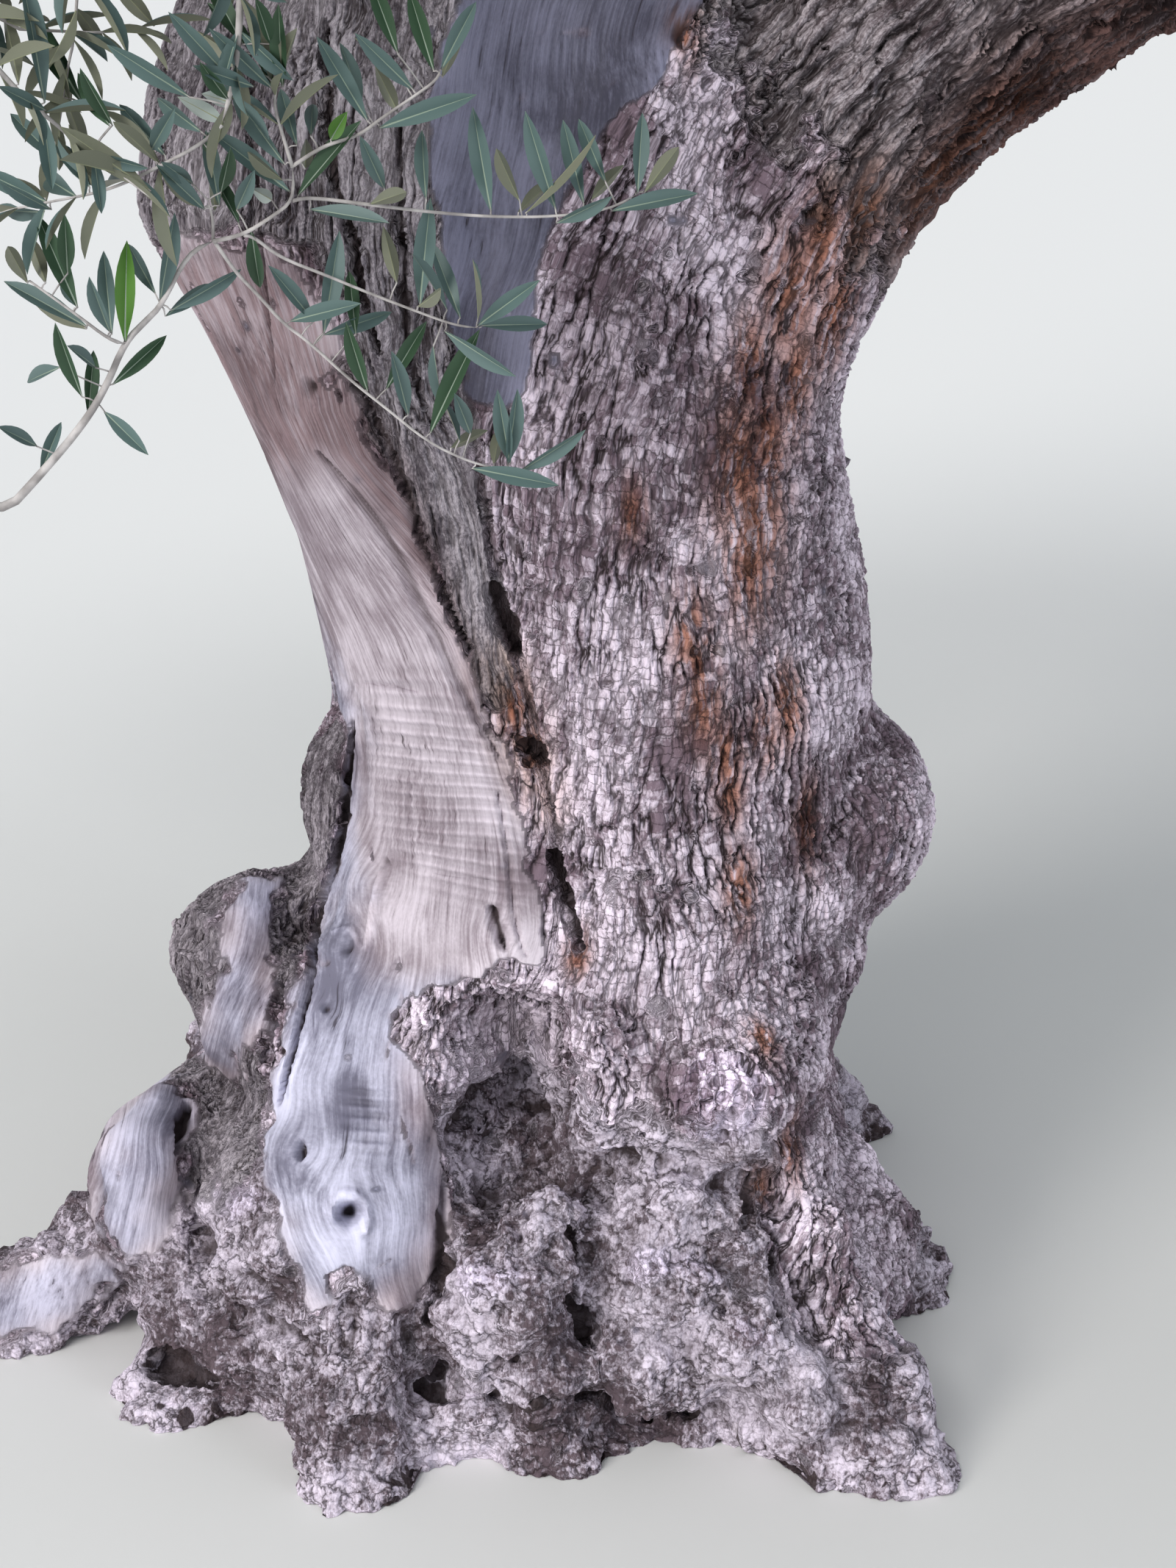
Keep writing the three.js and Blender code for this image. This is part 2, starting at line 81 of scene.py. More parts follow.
def joinAll(pieces, name):
    clearSelection()
    for piece in pieces:
        piece.select_set(True)
    bpy.context.view_layer.objects.active = pieces[0]
    bpy.ops.object.join()
    whole = bpy.context.object
    whole.name = name
    return whole


def unit(way):
    return way / np.linalg.norm(way)


def smoothStep(value, low, high):
    share = np.clip((value - low) / (high - low), 0, 1)
    return share * share * (3 - 2 * share)


def pixelScale():
    return view["lens"] / view["sensor"] * view["height"]


def photoPixels(places):
    turn = np.array(Matrix.Rotation(math.radians(view["tilt"]), 3, "X"))
    seen = (places - np.array(view["place"])) @ turn
    across = view["width"] / 2 - seen[:, 0] / seen[:, 2] * pixelScale()
    down = view["height"] / 2 + seen[:, 1] / seen[:, 2] * pixelScale()
    return np.column_stack([across, down])


def photoWay(pixel):
    aim = Vector((pixel[0] - view["width"] / 2, view["height"] / 2 - pixel[1], -pixelScale()))
    return (Matrix.Rotation(math.radians(view["tilt"]), 3, "X") @ aim).normalized()


# The tree's limbs, by the same rule as the CAD model's

crown = {"x": 0.25, "y": 0.0}

trunk = {
    "sides": 40,
    # height, and how far the trunk reaches to the left, right, front and back there
    "rings": [
        (-0.04, -0.335, 0.378, -0.315, 0.312),
        (0.09, -0.322, 0.372, -0.302, 0.300),
        (0.20, -0.280, 0.362, -0.286, 0.276),
        (0.33, -0.226, 0.362, -0.272, 0.258),
        (0.48, -0.172, 0.368, -0.254, 0.244),
        (0.64, -0.148, 0.364, -0.238, 0.232),
        (0.80, -0.178, 0.346, -0.224, 0.220),
        (0.95, -0.240, 0.340, -0.214, 0.212),
        (1.09, -0.300, 0.348, -0.210, 0.206),
        (1.20, -0.274, 0.330, -0.204, 0.200),
        (1.30, -0.236, 0.285, -0.176, 0.172),
        (1.355, -0.130, 0.190, -0.110, 0.108),
    ],
    # azimuth, reach, height, thickness where it leaves and where it dies into the ground
    "roots": [
        (196, 0.640, 0.165, 0.084, 0.038),
        (222, 0.430, 0.330, 0.118, 0.060),
        (252, 0.410, 0.330, 0.122, 0.066),
        (287, 0.345, 0.260, 0.104, 0.062),
        (316, 0.560, 0.330, 0.128, 0.058),
        (352, 0.455, 0.280, 0.108, 0.062),
        (35, 0.500, 0.300, 0.116, 0.054),
        (88, 0.430, 0.310, 0.124, 0.062),
        (140, 0.500, 0.300, 0.116, 0.050),
    ],
    # azimuth, height, radius, how far it stands out, flatness
    "burls": [
        (358, 0.508, 0.130, 0.074, 0.9),
        (306, 0.346, 0.150, 0.052, 0.9),
        (276, 0.160, 0.135, 0.050, 0.8),
        (305, 0.150, 0.140, 0.052, 0.8),
        (226, 0.150, 0.140, 0.050, 0.9),
        (189, 0.368, 0.104, 0.112, 0.9),
        (196, 0.548, 0.090, 0.032, 1.1),
        (198, 0.150, 0.120, 0.104, 0.95),
        (40, 0.420, 0.150, 0.048, 1.0),
        (105, 0.300, 0.150, 0.050, 0.9),
        (150, 0.470, 0.110, 0.040, 1.1),
    ],
    # small lumps that fill the foot between its roots
    "lumps": [
        (236, 0.050, 0.095, 0.075, 1.0),
        (262, 0.060, 0.080, 0.062, 1.1),
        (276, 0.040, 0.075, 0.070, 0.9),
        (300, 0.050, 0.085, 0.078, 1.0),
        (334, 0.080, 0.100, 0.080, 1.2),
        (318, 0.230, 0.080, 0.050, 1.1),
        (211, 0.090, 0.090, 0.080, 1.0),
        (247, 0.215, 0.075, 0.048, 1.0),
    ],
    # two thick stubs inside the fork: start, lean, radius, and the seat where the great limb takes over
    "stubs": [
        {"start": (0.150, 0, 0.820), "lean": (0.020, 0, 0.200), "radius": 0.178, "seat": "bough"},
        {"start": (-0.025, 0, 0.900), "lean": (-0.010, 0, 0.180), "radius": 0.172, "seat": "leader"},
    ],
    "seats": {
        "bough": {"place": (0.425, 0, 1.300), "azimuth": 0, "rise": 33, "radius": 0.152},
        "leader": {"place": (-0.045, 0, 1.420), "azimuth": 180, "rise": 84, "radius": 0.190},
    },
}

limbs = {
    "sway": 0.07,
    "aim": 1.4,
    "leave": 0.36,
    "arrive": 0.33,
    "lift": 0.25,
    "entry": 0.42,
    # name, what it leaves from and how far along, thickness at both ends, and its end where it has one
    "list": [
        ("right_bough", "bough", 0, 0.152, 0.122, (0, 0.800, 1.750)),
        ("left_leader", "leader", 0, 0.190, 0.138, (184, 0.395, 1.880)),
        ("centre_leader", "left_leader", 1, 0.118, 0.074, (150, 0.180, 2.460)),
        ("right_riser", "right_bough", 1, 0.104, 0.068, (10, 0.720, 2.330)),
        ("skirt_bough_east", "right_bough", 0.84, 0.074, 0.030, None),
        ("skirt_bough_north_east", "right_bough", 0.62, 0.078, 0.030, None),
        ("skirt_bough_south_east", "right_bough", 0.45, 0.076, 0.030, None),
        ("skirt_bough_north", "left_leader", 0.5, 0.078, 0.030, None),
        ("skirt_bough_north_west", "left_leader", 0.8, 0.078, 0.030, None),
        ("skirt_bough_south_west", "left_leader", 0.7, 0.078, 0.030, None),
        ("skirt_bough_south", "left_leader", 0.4, 0.076, 0.030, None),
        ("shoulder_bough_east", "right_riser", 0.7, 0.058, 0.026, None),
        ("shoulder_bough_south_east", "right_riser", 0.45, 0.058, 0.026, None),
        ("shoulder_bough_north", "centre_leader", 0.62, 0.060, 0.026, None),
        ("shoulder_bough_west", "centre_leader", 0.4, 0.060, 0.026, None),
        ("shoulder_bough_south_west", "centre_leader", 0.8, 0.056, 0.026, None),
        ("top_bough_west", "centre_leader", 1, 0.070, 0.028, None),
        ("top_bough_east", "right_riser", 1, 0.062, 0.026, None),
        ("hanging_bough", "left_leader", 0.16, 0.026, 0.010, (224, 0.690, 1.560)),
    ],
}

masses = {
    # azimuth, radius and height of the middle, and the reach along X, Y and Z
    "skirt_east": (0, 1.400, 2.020, (0.70, 0.70, 0.55)),
    "skirt_north_east": (51, 1.320, 2.080, (0.70, 0.70, 0.56)),
    "skirt_north": (103, 1.310, 2.050, (0.70, 0.70, 0.56)),
    "skirt_north_west": (154, 1.340, 2.090, (0.70, 0.70, 0.56)),
    "skirt_south_west": (206, 1.340, 2.050, (0.70, 0.70, 0.56)),
    "skirt_south": (257, 1.310, 2.090, (0.70, 0.70, 0.55)),
    "skirt_south_east": (309, 1.320, 2.060, (0.70, 0.70, 0.56)),
    "shoulder_east": (18, 0.850, 2.840, (0.70, 0.70, 0.56)),
    "shoulder_north": (90, 0.800, 2.870, (0.70, 0.70, 0.56)),
    "shoulder_west": (162, 0.850, 2.840, (0.70, 0.70, 0.56)),
    "shoulder_south_west": (234, 0.830, 2.860, (0.70, 0.70, 0.56)),
    "shoulder_south_east": (306, 0.830, 2.830, (0.70, 0.70, 0.56)),
    "top_west": (172, 0.330, 3.410, (0.64, 0.66, 0.52)),
    "top_east": (352, 0.370, 3.380, (0.64, 0.66, 0.52)),
    "hanging": (229, 0.610, 1.290, (0.43, 0.23, 0.33)),
}


def heading(azimuth, rise):
    turn, climb = math.radians(azimuth), math.radians(rise)
    return np.array([math.cos(climb) * math.cos(turn), math.cos(climb) * math.sin(turn), math.sin(climb)])


def fromCrownAxis(azimuth, radius, height):
    turn = math.radians(azimuth)
    return np.array([crown["x"] + radius * math.cos(turn), crown["y"] + radius * math.sin(turn), height])


def bezierPath(corners, count=201):
    share = np.linspace(0, 1, count)[:, None]
    rest = 1 - share
    weights = (rest ** 3, 3 * rest ** 2 * share, 3 * rest * share ** 2, share ** 3)
    return sum(weight * corner for weight, corner in zip(weights, corners))


def lengthsAlong(path):
    return np.concatenate([[0], np.cumsum(np.linalg.norm(np.diff(path, axis=0), axis=1))])


def pointAt(path, share):
    far = lengthsAlong(path)
    return np.array([np.interp(share * far[-1], far, path[:, axis]) for axis in range(3)])


def wayAt(path, share):
    return unit(pointAt(path, min(1, share + 0.002)) - pointAt(path, max(0, share - 0.002)))


def massCentre(name):
    azimuth, radius, height, reach = masses[name]
    return fromCrownAxis(azimuth, radius, height)


def shapeLimbs():
    shaped = {}
    for number, (name, parent, at, butt, tip, end) in enumerate(limbs["list"]):
        massName = name.replace("_bough", "")
        carries = massName in masses
        if parent in trunk["seats"]:
            seat = trunk["seats"][parent]
            start = np.array(seat["place"])
            leave = heading(seat["azimuth"], seat["rise"])
        else:
            start = pointAt(shaped[parent]["path"], at)
            leave = wayAt(shaped[parent]["path"], at)
        aim = massCentre(massName) if carries else fromCrownAxis(*end)
        towards = unit(aim - start)
        if parent not in trunk["seats"] and at != 1:
            leave = unit(leave + towards * limbs["aim"])
        if end:
            entry = fromCrownAxis(*end)
        else:
            entry = aim - towards * masses[massName][3][0] * limbs["entry"]
        length = np.linalg.norm(entry - start)
        if end and carries:
            arrive = unit(aim - entry)
        else:
            arrive = unit(towards + np.array([0, 0, limbs["lift"]]))
        side = unit(np.cross([0, 0, 1], towards))
        swing = 0 if parent in trunk["seats"] else length * limbs["sway"] * (1 if number % 2 == 0 else -1)
        corners = [
            start,
            start + leave * length * limbs["leave"] + side * swing,
            entry - arrive * length * limbs["arrive"] - side * swing,
            entry,
        ]
        shaped[name] = {"corners": corners, "path": bezierPath(corners), "butt": butt, "tip": tip}
    return shaped


# The skin's rough shape

skin = {
    "roughVoxel": 0.010,
    "voxel": 0.011,
    "roughSmoothing": 14,
    "smoothing": 2,
    "tubeSides": 16,
    "shrink": 0.004,  # what the smoothing took off, put back on
    "uneven": 0.32,  # how uneven the edge of a carved form is
    "unevenSeed": 50,
    "slimEnd": 0.35,  # how slim a small mark is at its ends
}


def taperedTube(name, corners, butt, tip):
    clearSelection()
    bpy.ops.curve.primitive_bezier_curve_add(radius=1, location=(0, 0, 0))
    tube = bpy.context.object
    tube.name = name
    tube.data.dimensions = "3D"
    tube.data.bevel_depth = 1.0
    tube.data.bevel_resolution = skin["tubeSides"] // 4
    tube.data.resolution_u = 20
    tube.data.use_fill_caps = True
    spline = tube.data.splines[0]
    first, last = spline.bezier_points
    for point in (first, last):
        point.handle_left_type = "FREE"
        point.handle_right_type = "FREE"
    corners = [Vector(corner) for corner in corners]
    first.co, first.handle_right, first.radius = corners[0], corners[1], butt
    first.handle_left = corners[0] * 2 - corners[1]
    last.handle_left, last.co, last.radius = corners[2], corners[3], tip
    last.handle_right = corners[3] * 2 - corners[2]
    makeActive(tube)
    bpy.ops.object.convert(target="MESH")
    return bpy.context.object


def ringedBody():
    rings = trunk["rings"]

    def middleAndReach(ring):
        height, left, right, front, back = ring
        middle = Vector(((left + right) / 2, (front + back) / 2, height))
        return middle, ((right - left) / 2, (back - front) / 2)

    middle, reach = middleAndReach(rings[0])
    clearSelection()
    bpy.ops.mesh.primitive_circle_add(vertices=trunk["sides"], radius=1, fill_type="NGON", location=middle)
    body = bpy.context.object
    body.name = "trunkBody"
    bpy.ops.object.mode_set(mode="EDIT")
    bpy.ops.transform.resize(value=(reach[0], reach[1], 1), center_override=middle)
    for low, high in zip(rings, rings[1:]):
        middle, reach = middleAndReach(low)
        nextMiddle, nextReach = middleAndReach(high)
        bpy.ops.mesh.extrude_region_move(TRANSFORM_OT_translate={"value": nextMiddle - middle})
        growth = (nextReach[0] / reach[0], nextReach[1] / reach[1], 1)
        bpy.ops.transform.resize(value=growth, center_override=nextMiddle)
    bpy.ops.mesh.select_all(action="SELECT")
    bpy.ops.mesh.normals_make_consistent(inside=False)
    bpy.ops.object.mode_set(mode="OBJECT")
    bpy.ops.object.transform_apply(location=True, rotation=True, scale=True)
    return body


def rootTube(number, azimuth, reach, height, butt, tip):
    out = heading(azimuth, 0)
    up = np.array([0, 0, 1])
    corners = [
        out * reach * 0.3 + up * height,
        out * reach * 0.55 + up * height * 0.62,
        out * reach * 0.72 + up * height * 0.12,
        out * reach - up * tip * 0.7,
    ]
    return taperedTube(f"root{number}", corners, butt, tip)


def outlineAt(height):
    rings = np.array(trunk["rings"])
    return [np.interp(height, rings[:, 0], rings[:, side]) for side in (1, 2, 3, 4)]


def burlBall(number, azimuth, height, radius, stands, flat):
    left, right, front, back = outlineAt(height)
    depth = radius - stands
    turn = math.radians(azimuth)
    place = (
        (left + right) / 2 + math.cos(turn) * ((right - left) / 2 - depth),
        (front + back) / 2 + math.sin(turn) * ((back - front) / 2 - depth),
        height,
    )
    clearSelection()
    bpy.ops.mesh.primitive_ico_sphere_add(subdivisions=3, radius=radius, location=place, scale=(1, 1, flat))
    burl = bpy.context.object
    burl.name = f"burl{number}"
    bpy.ops.object.transform_apply(location=True, rotation=True, scale=True)
    return burl


def stubTube(start, lean, radius, seat):
    seat = trunk["seats"][seat]
    start, end = np.array(start), np.array(seat["place"])
    back = heading(seat["azimuth"], seat["rise"]) * np.linalg.norm(end - start) / 3
    return taperedTube("stub", [start, start + np.array(lean), end - back, end], radius, seat["radius"])


def remeshed(piece, voxel, smoothing, strength=0.5):
    even = piece.modifiers.new("even skin", "REMESH")
    even.mode = "VOXEL"
    even.voxel_size = voxel
    if smoothing:
        soft = piece.modifiers.new("soft skin", "SMOOTH")
        soft.factor = strength
        soft.iterations = smoothing
    applyModifiers(piece)
    return piece


def roughSkin(shaped):
    parts = [ringedBody()]
    parts += [rootTube(number, *root) for number, root in enumerate(trunk["roots"])]
    parts += [burlBall(number, *burl) for number, burl in enumerate(trunk["burls"] + trunk["lumps"])]
    parts += [stubTube(**stub) for stub in trunk["stubs"]]
    parts += [taperedTube(name, limb["corners"], limb["butt"], limb["tip"]) for name, limb in shaped.items()]
    whole = joinAll(parts, "skin")
    return remeshed(whole, skin["roughVoxel"], skin["roughSmoothing"])


# Carving: each form follows a path across the photo, in its pixels, and is pressed into the skin there

forms = [
    # what it is, reach and depth in metres, how blunt its edge is, and its way across the photo
    ("seam of dead and live wood", 0.050, 0.014, 2, [(640, 330), (640, 510), (640, 640), (665, 745),
        (690, 855), (710, 940), (730, 1030), (750, 1130), (765, 1215), (745, 1305)]),
    ("gap left of the strip", 0.024, 0.018, 2, [(478, 955), (480, 1025), (472, 1110), (455, 1180),
        (430, 1260), (425, 1320), (405, 1400), (370, 1535)]),
    ("recess left of the strip", 0.035, 0.026, 2, [(400, 1250), (390, 1330), (375, 1390)]),
    ("live column", 0.170, -0.016, 2, [(900, 560), (900, 760), (920, 960), (930, 1200)]),
    ("dead strip", 0.100, -0.014, 2, [(400, 620), (500, 800), (580, 980), (600, 1150)]),
    ("foot of the strip", 0.065, -0.024, 2, [(470, 1330), (430, 1480), (445, 1640)]),
    ("edge of the strip's foot", 0.035, -0.016, 2, [(540, 1420), (560, 1530), (590, 1660)]),
    ("bare wood in the fork", 0.110, 0.026, 2, [(730, -60), (745, 120), (700, 330), (660, 470)]),
    ("lip of the great bough", 0.040, -0.020, 2, [(985, -40), (900, 95), (815, 235), (745, 350), (722, 450),
        (705, 520)]),
    ("edge of the left leader", 0.030, -0.012, 2, [(620, -40), (600, 150), (600, 330), (625, 480)]),
    ("hollow at the foot", 0.080, 0.105, 1, [(692, 1470), (684, 1560)]),
    ("floor of the hollow", 0.050, 0.040, 2, [(650, 1535), (745, 1550)]),
    ("brow of the hollow", 0.030, -0.016, 1, [(590, 1350), (670, 1300), (765, 1335), (805, 1400)]),
    ("left wall of the hollow", 0.024, -0.020, 1, [(596, 1385), (588, 1450), (600, 1560)]),
    ("right wall of the hollow", 0.028, -0.018, 1, [(800, 1400), (812, 1500)]),
    ("groove left of the lumps", 0.032, 0.046, 2, [(598, 1590), (600, 1665), (588, 1770), (575, 1890)]),
    ("groove between the lumps", 0.030, 0.040, 2, [(806, 1600), (800, 1705), (795, 1815), (800, 1920)]),
    ("groove right of the lumps", 0.030, 0.034, 2, [(1050, 1610), (1085, 1705), (1110, 1815), (1130, 1900)]),
    ("groove under the swirl", 0.026, 0.026, 2, [(850, 1590), (960, 1620), (1040, 1600)]),
    ("undercut of the lumps", 0.034, 0.032, 2, [(575, 1900), (660, 1925), (745, 1930), (855, 1935),
        (960, 1940)]),
    ("ground line", 0.060, 0.022, 2, [(600, 1975), (700, 1995), (850, 1995), (980, 1985)]),
    ("groove beside the strip's foot", 0.026, 0.034, 2, [(372, 1500), (372, 1600), (385, 1700), (400, 1800)]),
    ("groove of the left foot", 0.028, 0.032, 2, [(255, 1600), (262, 1700), (280, 1800)]),
    ("recess of the right edge", 0.080, 0.016, 2, [(1150, 1390), (1150, 1340)]),
    ("root lobe", 0.045, -0.020, 2, [(345, 1205), (320, 1330), (305, 1420)]),
    ("outer root lobe", 0.050, -0.018, 2, [(225, 1500), (200, 1600), (160, 1705)]),
    ("slot in the root lobe", 0.022, 0.022, 2, [(255, 1475), (240, 1555)]),
    ("undercut of the left root", 0.035, 0.030, 2, [(150, 1860), (240, 1850), (300, 1880)]),
]

# Lumps that are set into the skin whole: pixel, radius, and how far each stands out
boulders = [
    ((690, 1765), 0.058, 0.034), ((650, 1800), 0.040, 0.026), ((906, 1736), 0.064, 0.034),
    ((1012, 1828), 0.050, 0.030), ((868, 1850), 0.050, 0.028), ((745, 1855), 0.040, 0.022),
    ((978, 1500), 0.082, 0.034), ((1067, 1558), 0.028, 0.016), ((833, 1421), 0.034, 0.016),
    ((900, 1655), 0.042, 0.020), ((770, 1668), 0.034, 0.018), ((700, 1650), 0.030, 0.016),
    ((640, 1670), 0.030, 0.014), ((478, 1600), 0.125, 0.017), ((445, 1430), 0.100, 0.010),
    ((335, 1735), 0.046, 0.028), ((300, 1640), 0.032, 0.018), ((428, 1760), 0.046, 0.024),
    ((322, 1830), 0.040, 0.020), ((480, 1890), 0.052, 0.022), ((205, 1560), 0.044, 0.020),
    ((1120, 1690), 0.040, 0.014), ((1165, 1560), 0.050, 0.012), ((1135, 1310), 0.085, 0.030),
    ((1138, 1430), 0.080, 0.026), ((1130, 1220), 0.080, 0.018), ((960, 1930), 0.034, 0.020),
    ((1075, 1905), 0.040, 0.018), ((235, 1240), 0.044, 0.020), ((300, 1150), 0.034, 0.014),
    ((560, 1840), 0.036, 0.018), ((395, 1065), 0.026, 0.014),
]

swellings = {
    # size of the swellings, how far they reach in and out, the heights between which they fade, and the seed
    "all over": (0.240, 0.012, None, 3),
    "ridges": (0.110, 0.005, None, 8),
    "foot": (0.085, 0.016, (0.30, 0.52), 14),
    "small lumps of the foot": (0.042, 0.007, (0.26, 0.46), 21),
}

thinWood = {"heights": (1.5, 1.9), "calmer": 0.7}  # where the boughs swell less than the trunk

crumbs = {
    # round-topped grains of the rough bark: size and height
    "grains": [(0.050, 0.0085), (0.026, 0.0048), (0.013, 0.0020)],
    "seeds": (70, 80),
    "half": 0.35,  # share of the grains of half the size
    "low": 0.55,
}


def softNoise(places, size, seed):
    cells = places / size
    corner = np.floor(cells).astype(np.int64)
    share = cells - corner
    share = share * share * (3 - 2 * share)
    total = np.zeros(len(places))
    for number in range(8):
        step = np.array([number & 1, number >> 1 & 1, number >> 2 & 1])
        key = (corner + step) @ np.array([73856093, 19349663, 83492791]) + seed * 9176263
        key = (key ^ (key >> 13)) * 1274126177 & 0xFFFFFF
        weight = np.where(step, share, 1 - share).prod(axis=1)
        total += weight * (key / 0xFFFFFF * 2 - 1)
    return total


def getPlaces(piece):
    places = np.empty(len(piece.data.vertices) * 3)
    piece.data.vertices.foreach_get("co", places)
    return places.reshape(-1, 3)


def getNormals(piece):
    normals = np.empty(len(piece.data.vertices) * 3)
    piece.data.vertex_normals.foreach_get("vector", normals)
    return normals.reshape(-1, 3)


def setPlaces(piece, places):
    piece.data.vertices.foreach_set("co", places.ravel())
    piece.data.update()


def cloud(places, size, octaves, seed):
    # soft noise of several sizes, from about -1 to 1
    total = 0
    for octave in range(octaves):
        total = total + softNoise(places, size / 2 ** octave, seed + octave) / 2 ** octave
    return total / 1.2


def distanceTo(places, path):
    # how far each place lies from a path, and how far along it
    path = np.array(path)
    nearest = np.linalg.norm(places - path[0], axis=1)
    along = np.zeros(len(places))
    for number, (start, end) in enumerate(zip(path, path[1:])):
        way = end - start
        share = np.clip((places - start) @ way / (way @ way + 1e-12), 0, 1)
        away = np.linalg.norm(places - start - share[:, None] * way, axis=1)
        closer = away < nearest
        nearest[closer] = away[closer]
        along[closer] = (number + share[closer]) / (len(path) - 1)
    return nearest, along


def cutCorners(path):
    # cuts the corners of a path off twice, and keeps its ends
    path = np.array(path, dtype=float)
    for number in range(2 if len(path) > 2 else 0):
        cut = np.stack([path[:-1] * 0.75 + path[1:] * 0.25, path[:-1] * 0.25 + path[1:] * 0.75], axis=1)
        path = np.vstack([path[:1], cut.reshape(-1, path.shape[1])[1:-1], path[-1:]])
    return path


def pathOnSkin(tree, pixels):
    hits = [tree.ray_cast(Vector(view["place"]), photoWay(pixel))[0] for pixel in cutCorners(pixels)]
    return [hit for hit in hits if hit]


def treeOf(piece):
    return BVHTree.FromObject(piece, bpy.context.evaluated_depsgraph_get())


def carve(piece, formTable, tapered=False):
    tree = treeOf(piece)
    places, normals = getPlaces(piece), getNormals(piece)
    moves = np.zeros(len(places))
    for name, reach, depth, blunt, pixels in formTable:
        path = pathOnSkin(tree, pixels)
        if not path:
            print("nothing to carve for", name)
            continue
        low, high = np.min(path, axis=0) - reach, np.max(path, axis=0) + reach
        held = np.flatnonzero(((places > low) & (places < high)).all(axis=1))
        near, along = distanceTo(places[held], path)
        near *= 1 + skin["uneven"] * cloud(places[held], reach, 2, skin["unevenSeed"])
        if tapered and len(path) > 1 and pixels[0] != pixels[-1]:
            full = np.sqrt(np.sin(np.pi * np.clip(along, 0.01, 0.99)))
            near /= skin["slimEnd"] + (1 - skin["slimEnd"]) * full
        moves[held] -= depth * np.clip(1 - (near / reach) ** 2, 0, 1) ** blunt
    setPlaces(piece, places + normals * moves[:, None])


def setLumps(piece):
    tree = treeOf(piece)
    lumps = [piece]
    for pixel, radius, stands in boulders:
        hit, normal, *rest = tree.ray_cast(Vector(view["place"]), photoWay(pixel))
        if not hit:
            continue
        clearSelection()
        place = hit - normal * (radius - stands)
        bpy.ops.mesh.primitive_ico_sphere_add(subdivisions=4, radius=radius, location=place)
        lumps.append(bpy.context.object)
    return joinAll(lumps, piece.name)


def swell(piece):
    places, normals = getPlaces(piece), getNormals(piece)
    moves = np.full(len(places), skin["shrink"])
    for size, depth, fades, seed in swellings.values():
        strength = 1 - smoothStep(places[:, 2], *fades) if fades else 1
        moves += strength * depth * softNoise(places, size, seed)
    thin = smoothStep(places[:, 2], *thinWood["heights"])
    setPlaces(piece, places + normals * (moves * (1 - thinWood["calmer"] * thin))[:, None])


fineness = {
    "rounds": 2,  # times that the faces in the camera's view are halved
    "margin": 60,  # pixels round the photo
    "top": 1.45,
    "turnedAway": -0.02,
}


def facesInView(piece):
    places = getPlaces(piece)
    across, down = photoPixels(places).T
    margin = fineness["margin"]
    inFrame = (across > -margin) & (across < view["width"] + margin) & (down > -margin)
    towards = np.array(view["place"]) - places
    facing = (getNormals(piece) * towards).sum(axis=1) > fineness["turnedAway"]
    seen = inFrame & facing & (places[:, 2] < fineness["top"])
    corners = np.empty(len(piece.data.polygons) * 4, dtype=np.int64)
    piece.data.polygons.foreach_get("vertices", corners)
    return seen[corners.reshape(-1, 4)].all(axis=1)


def refine(piece):
    chosen = facesInView(piece)
    makeActive(piece)
    choose(piece.data.polygons, chosen, "FACE")
    for number in range(fineness["rounds"]):
        bpy.ops.mesh.subdivide(number_cuts=1, smoothness=0.0)
        bpy.ops.mesh.vertices_smooth(factor=0.5, repeat=2)
    bpy.ops.object.mode_set(mode="OBJECT")


# What covers each stretch of the skin, told by outlines across the photo, in its pixels

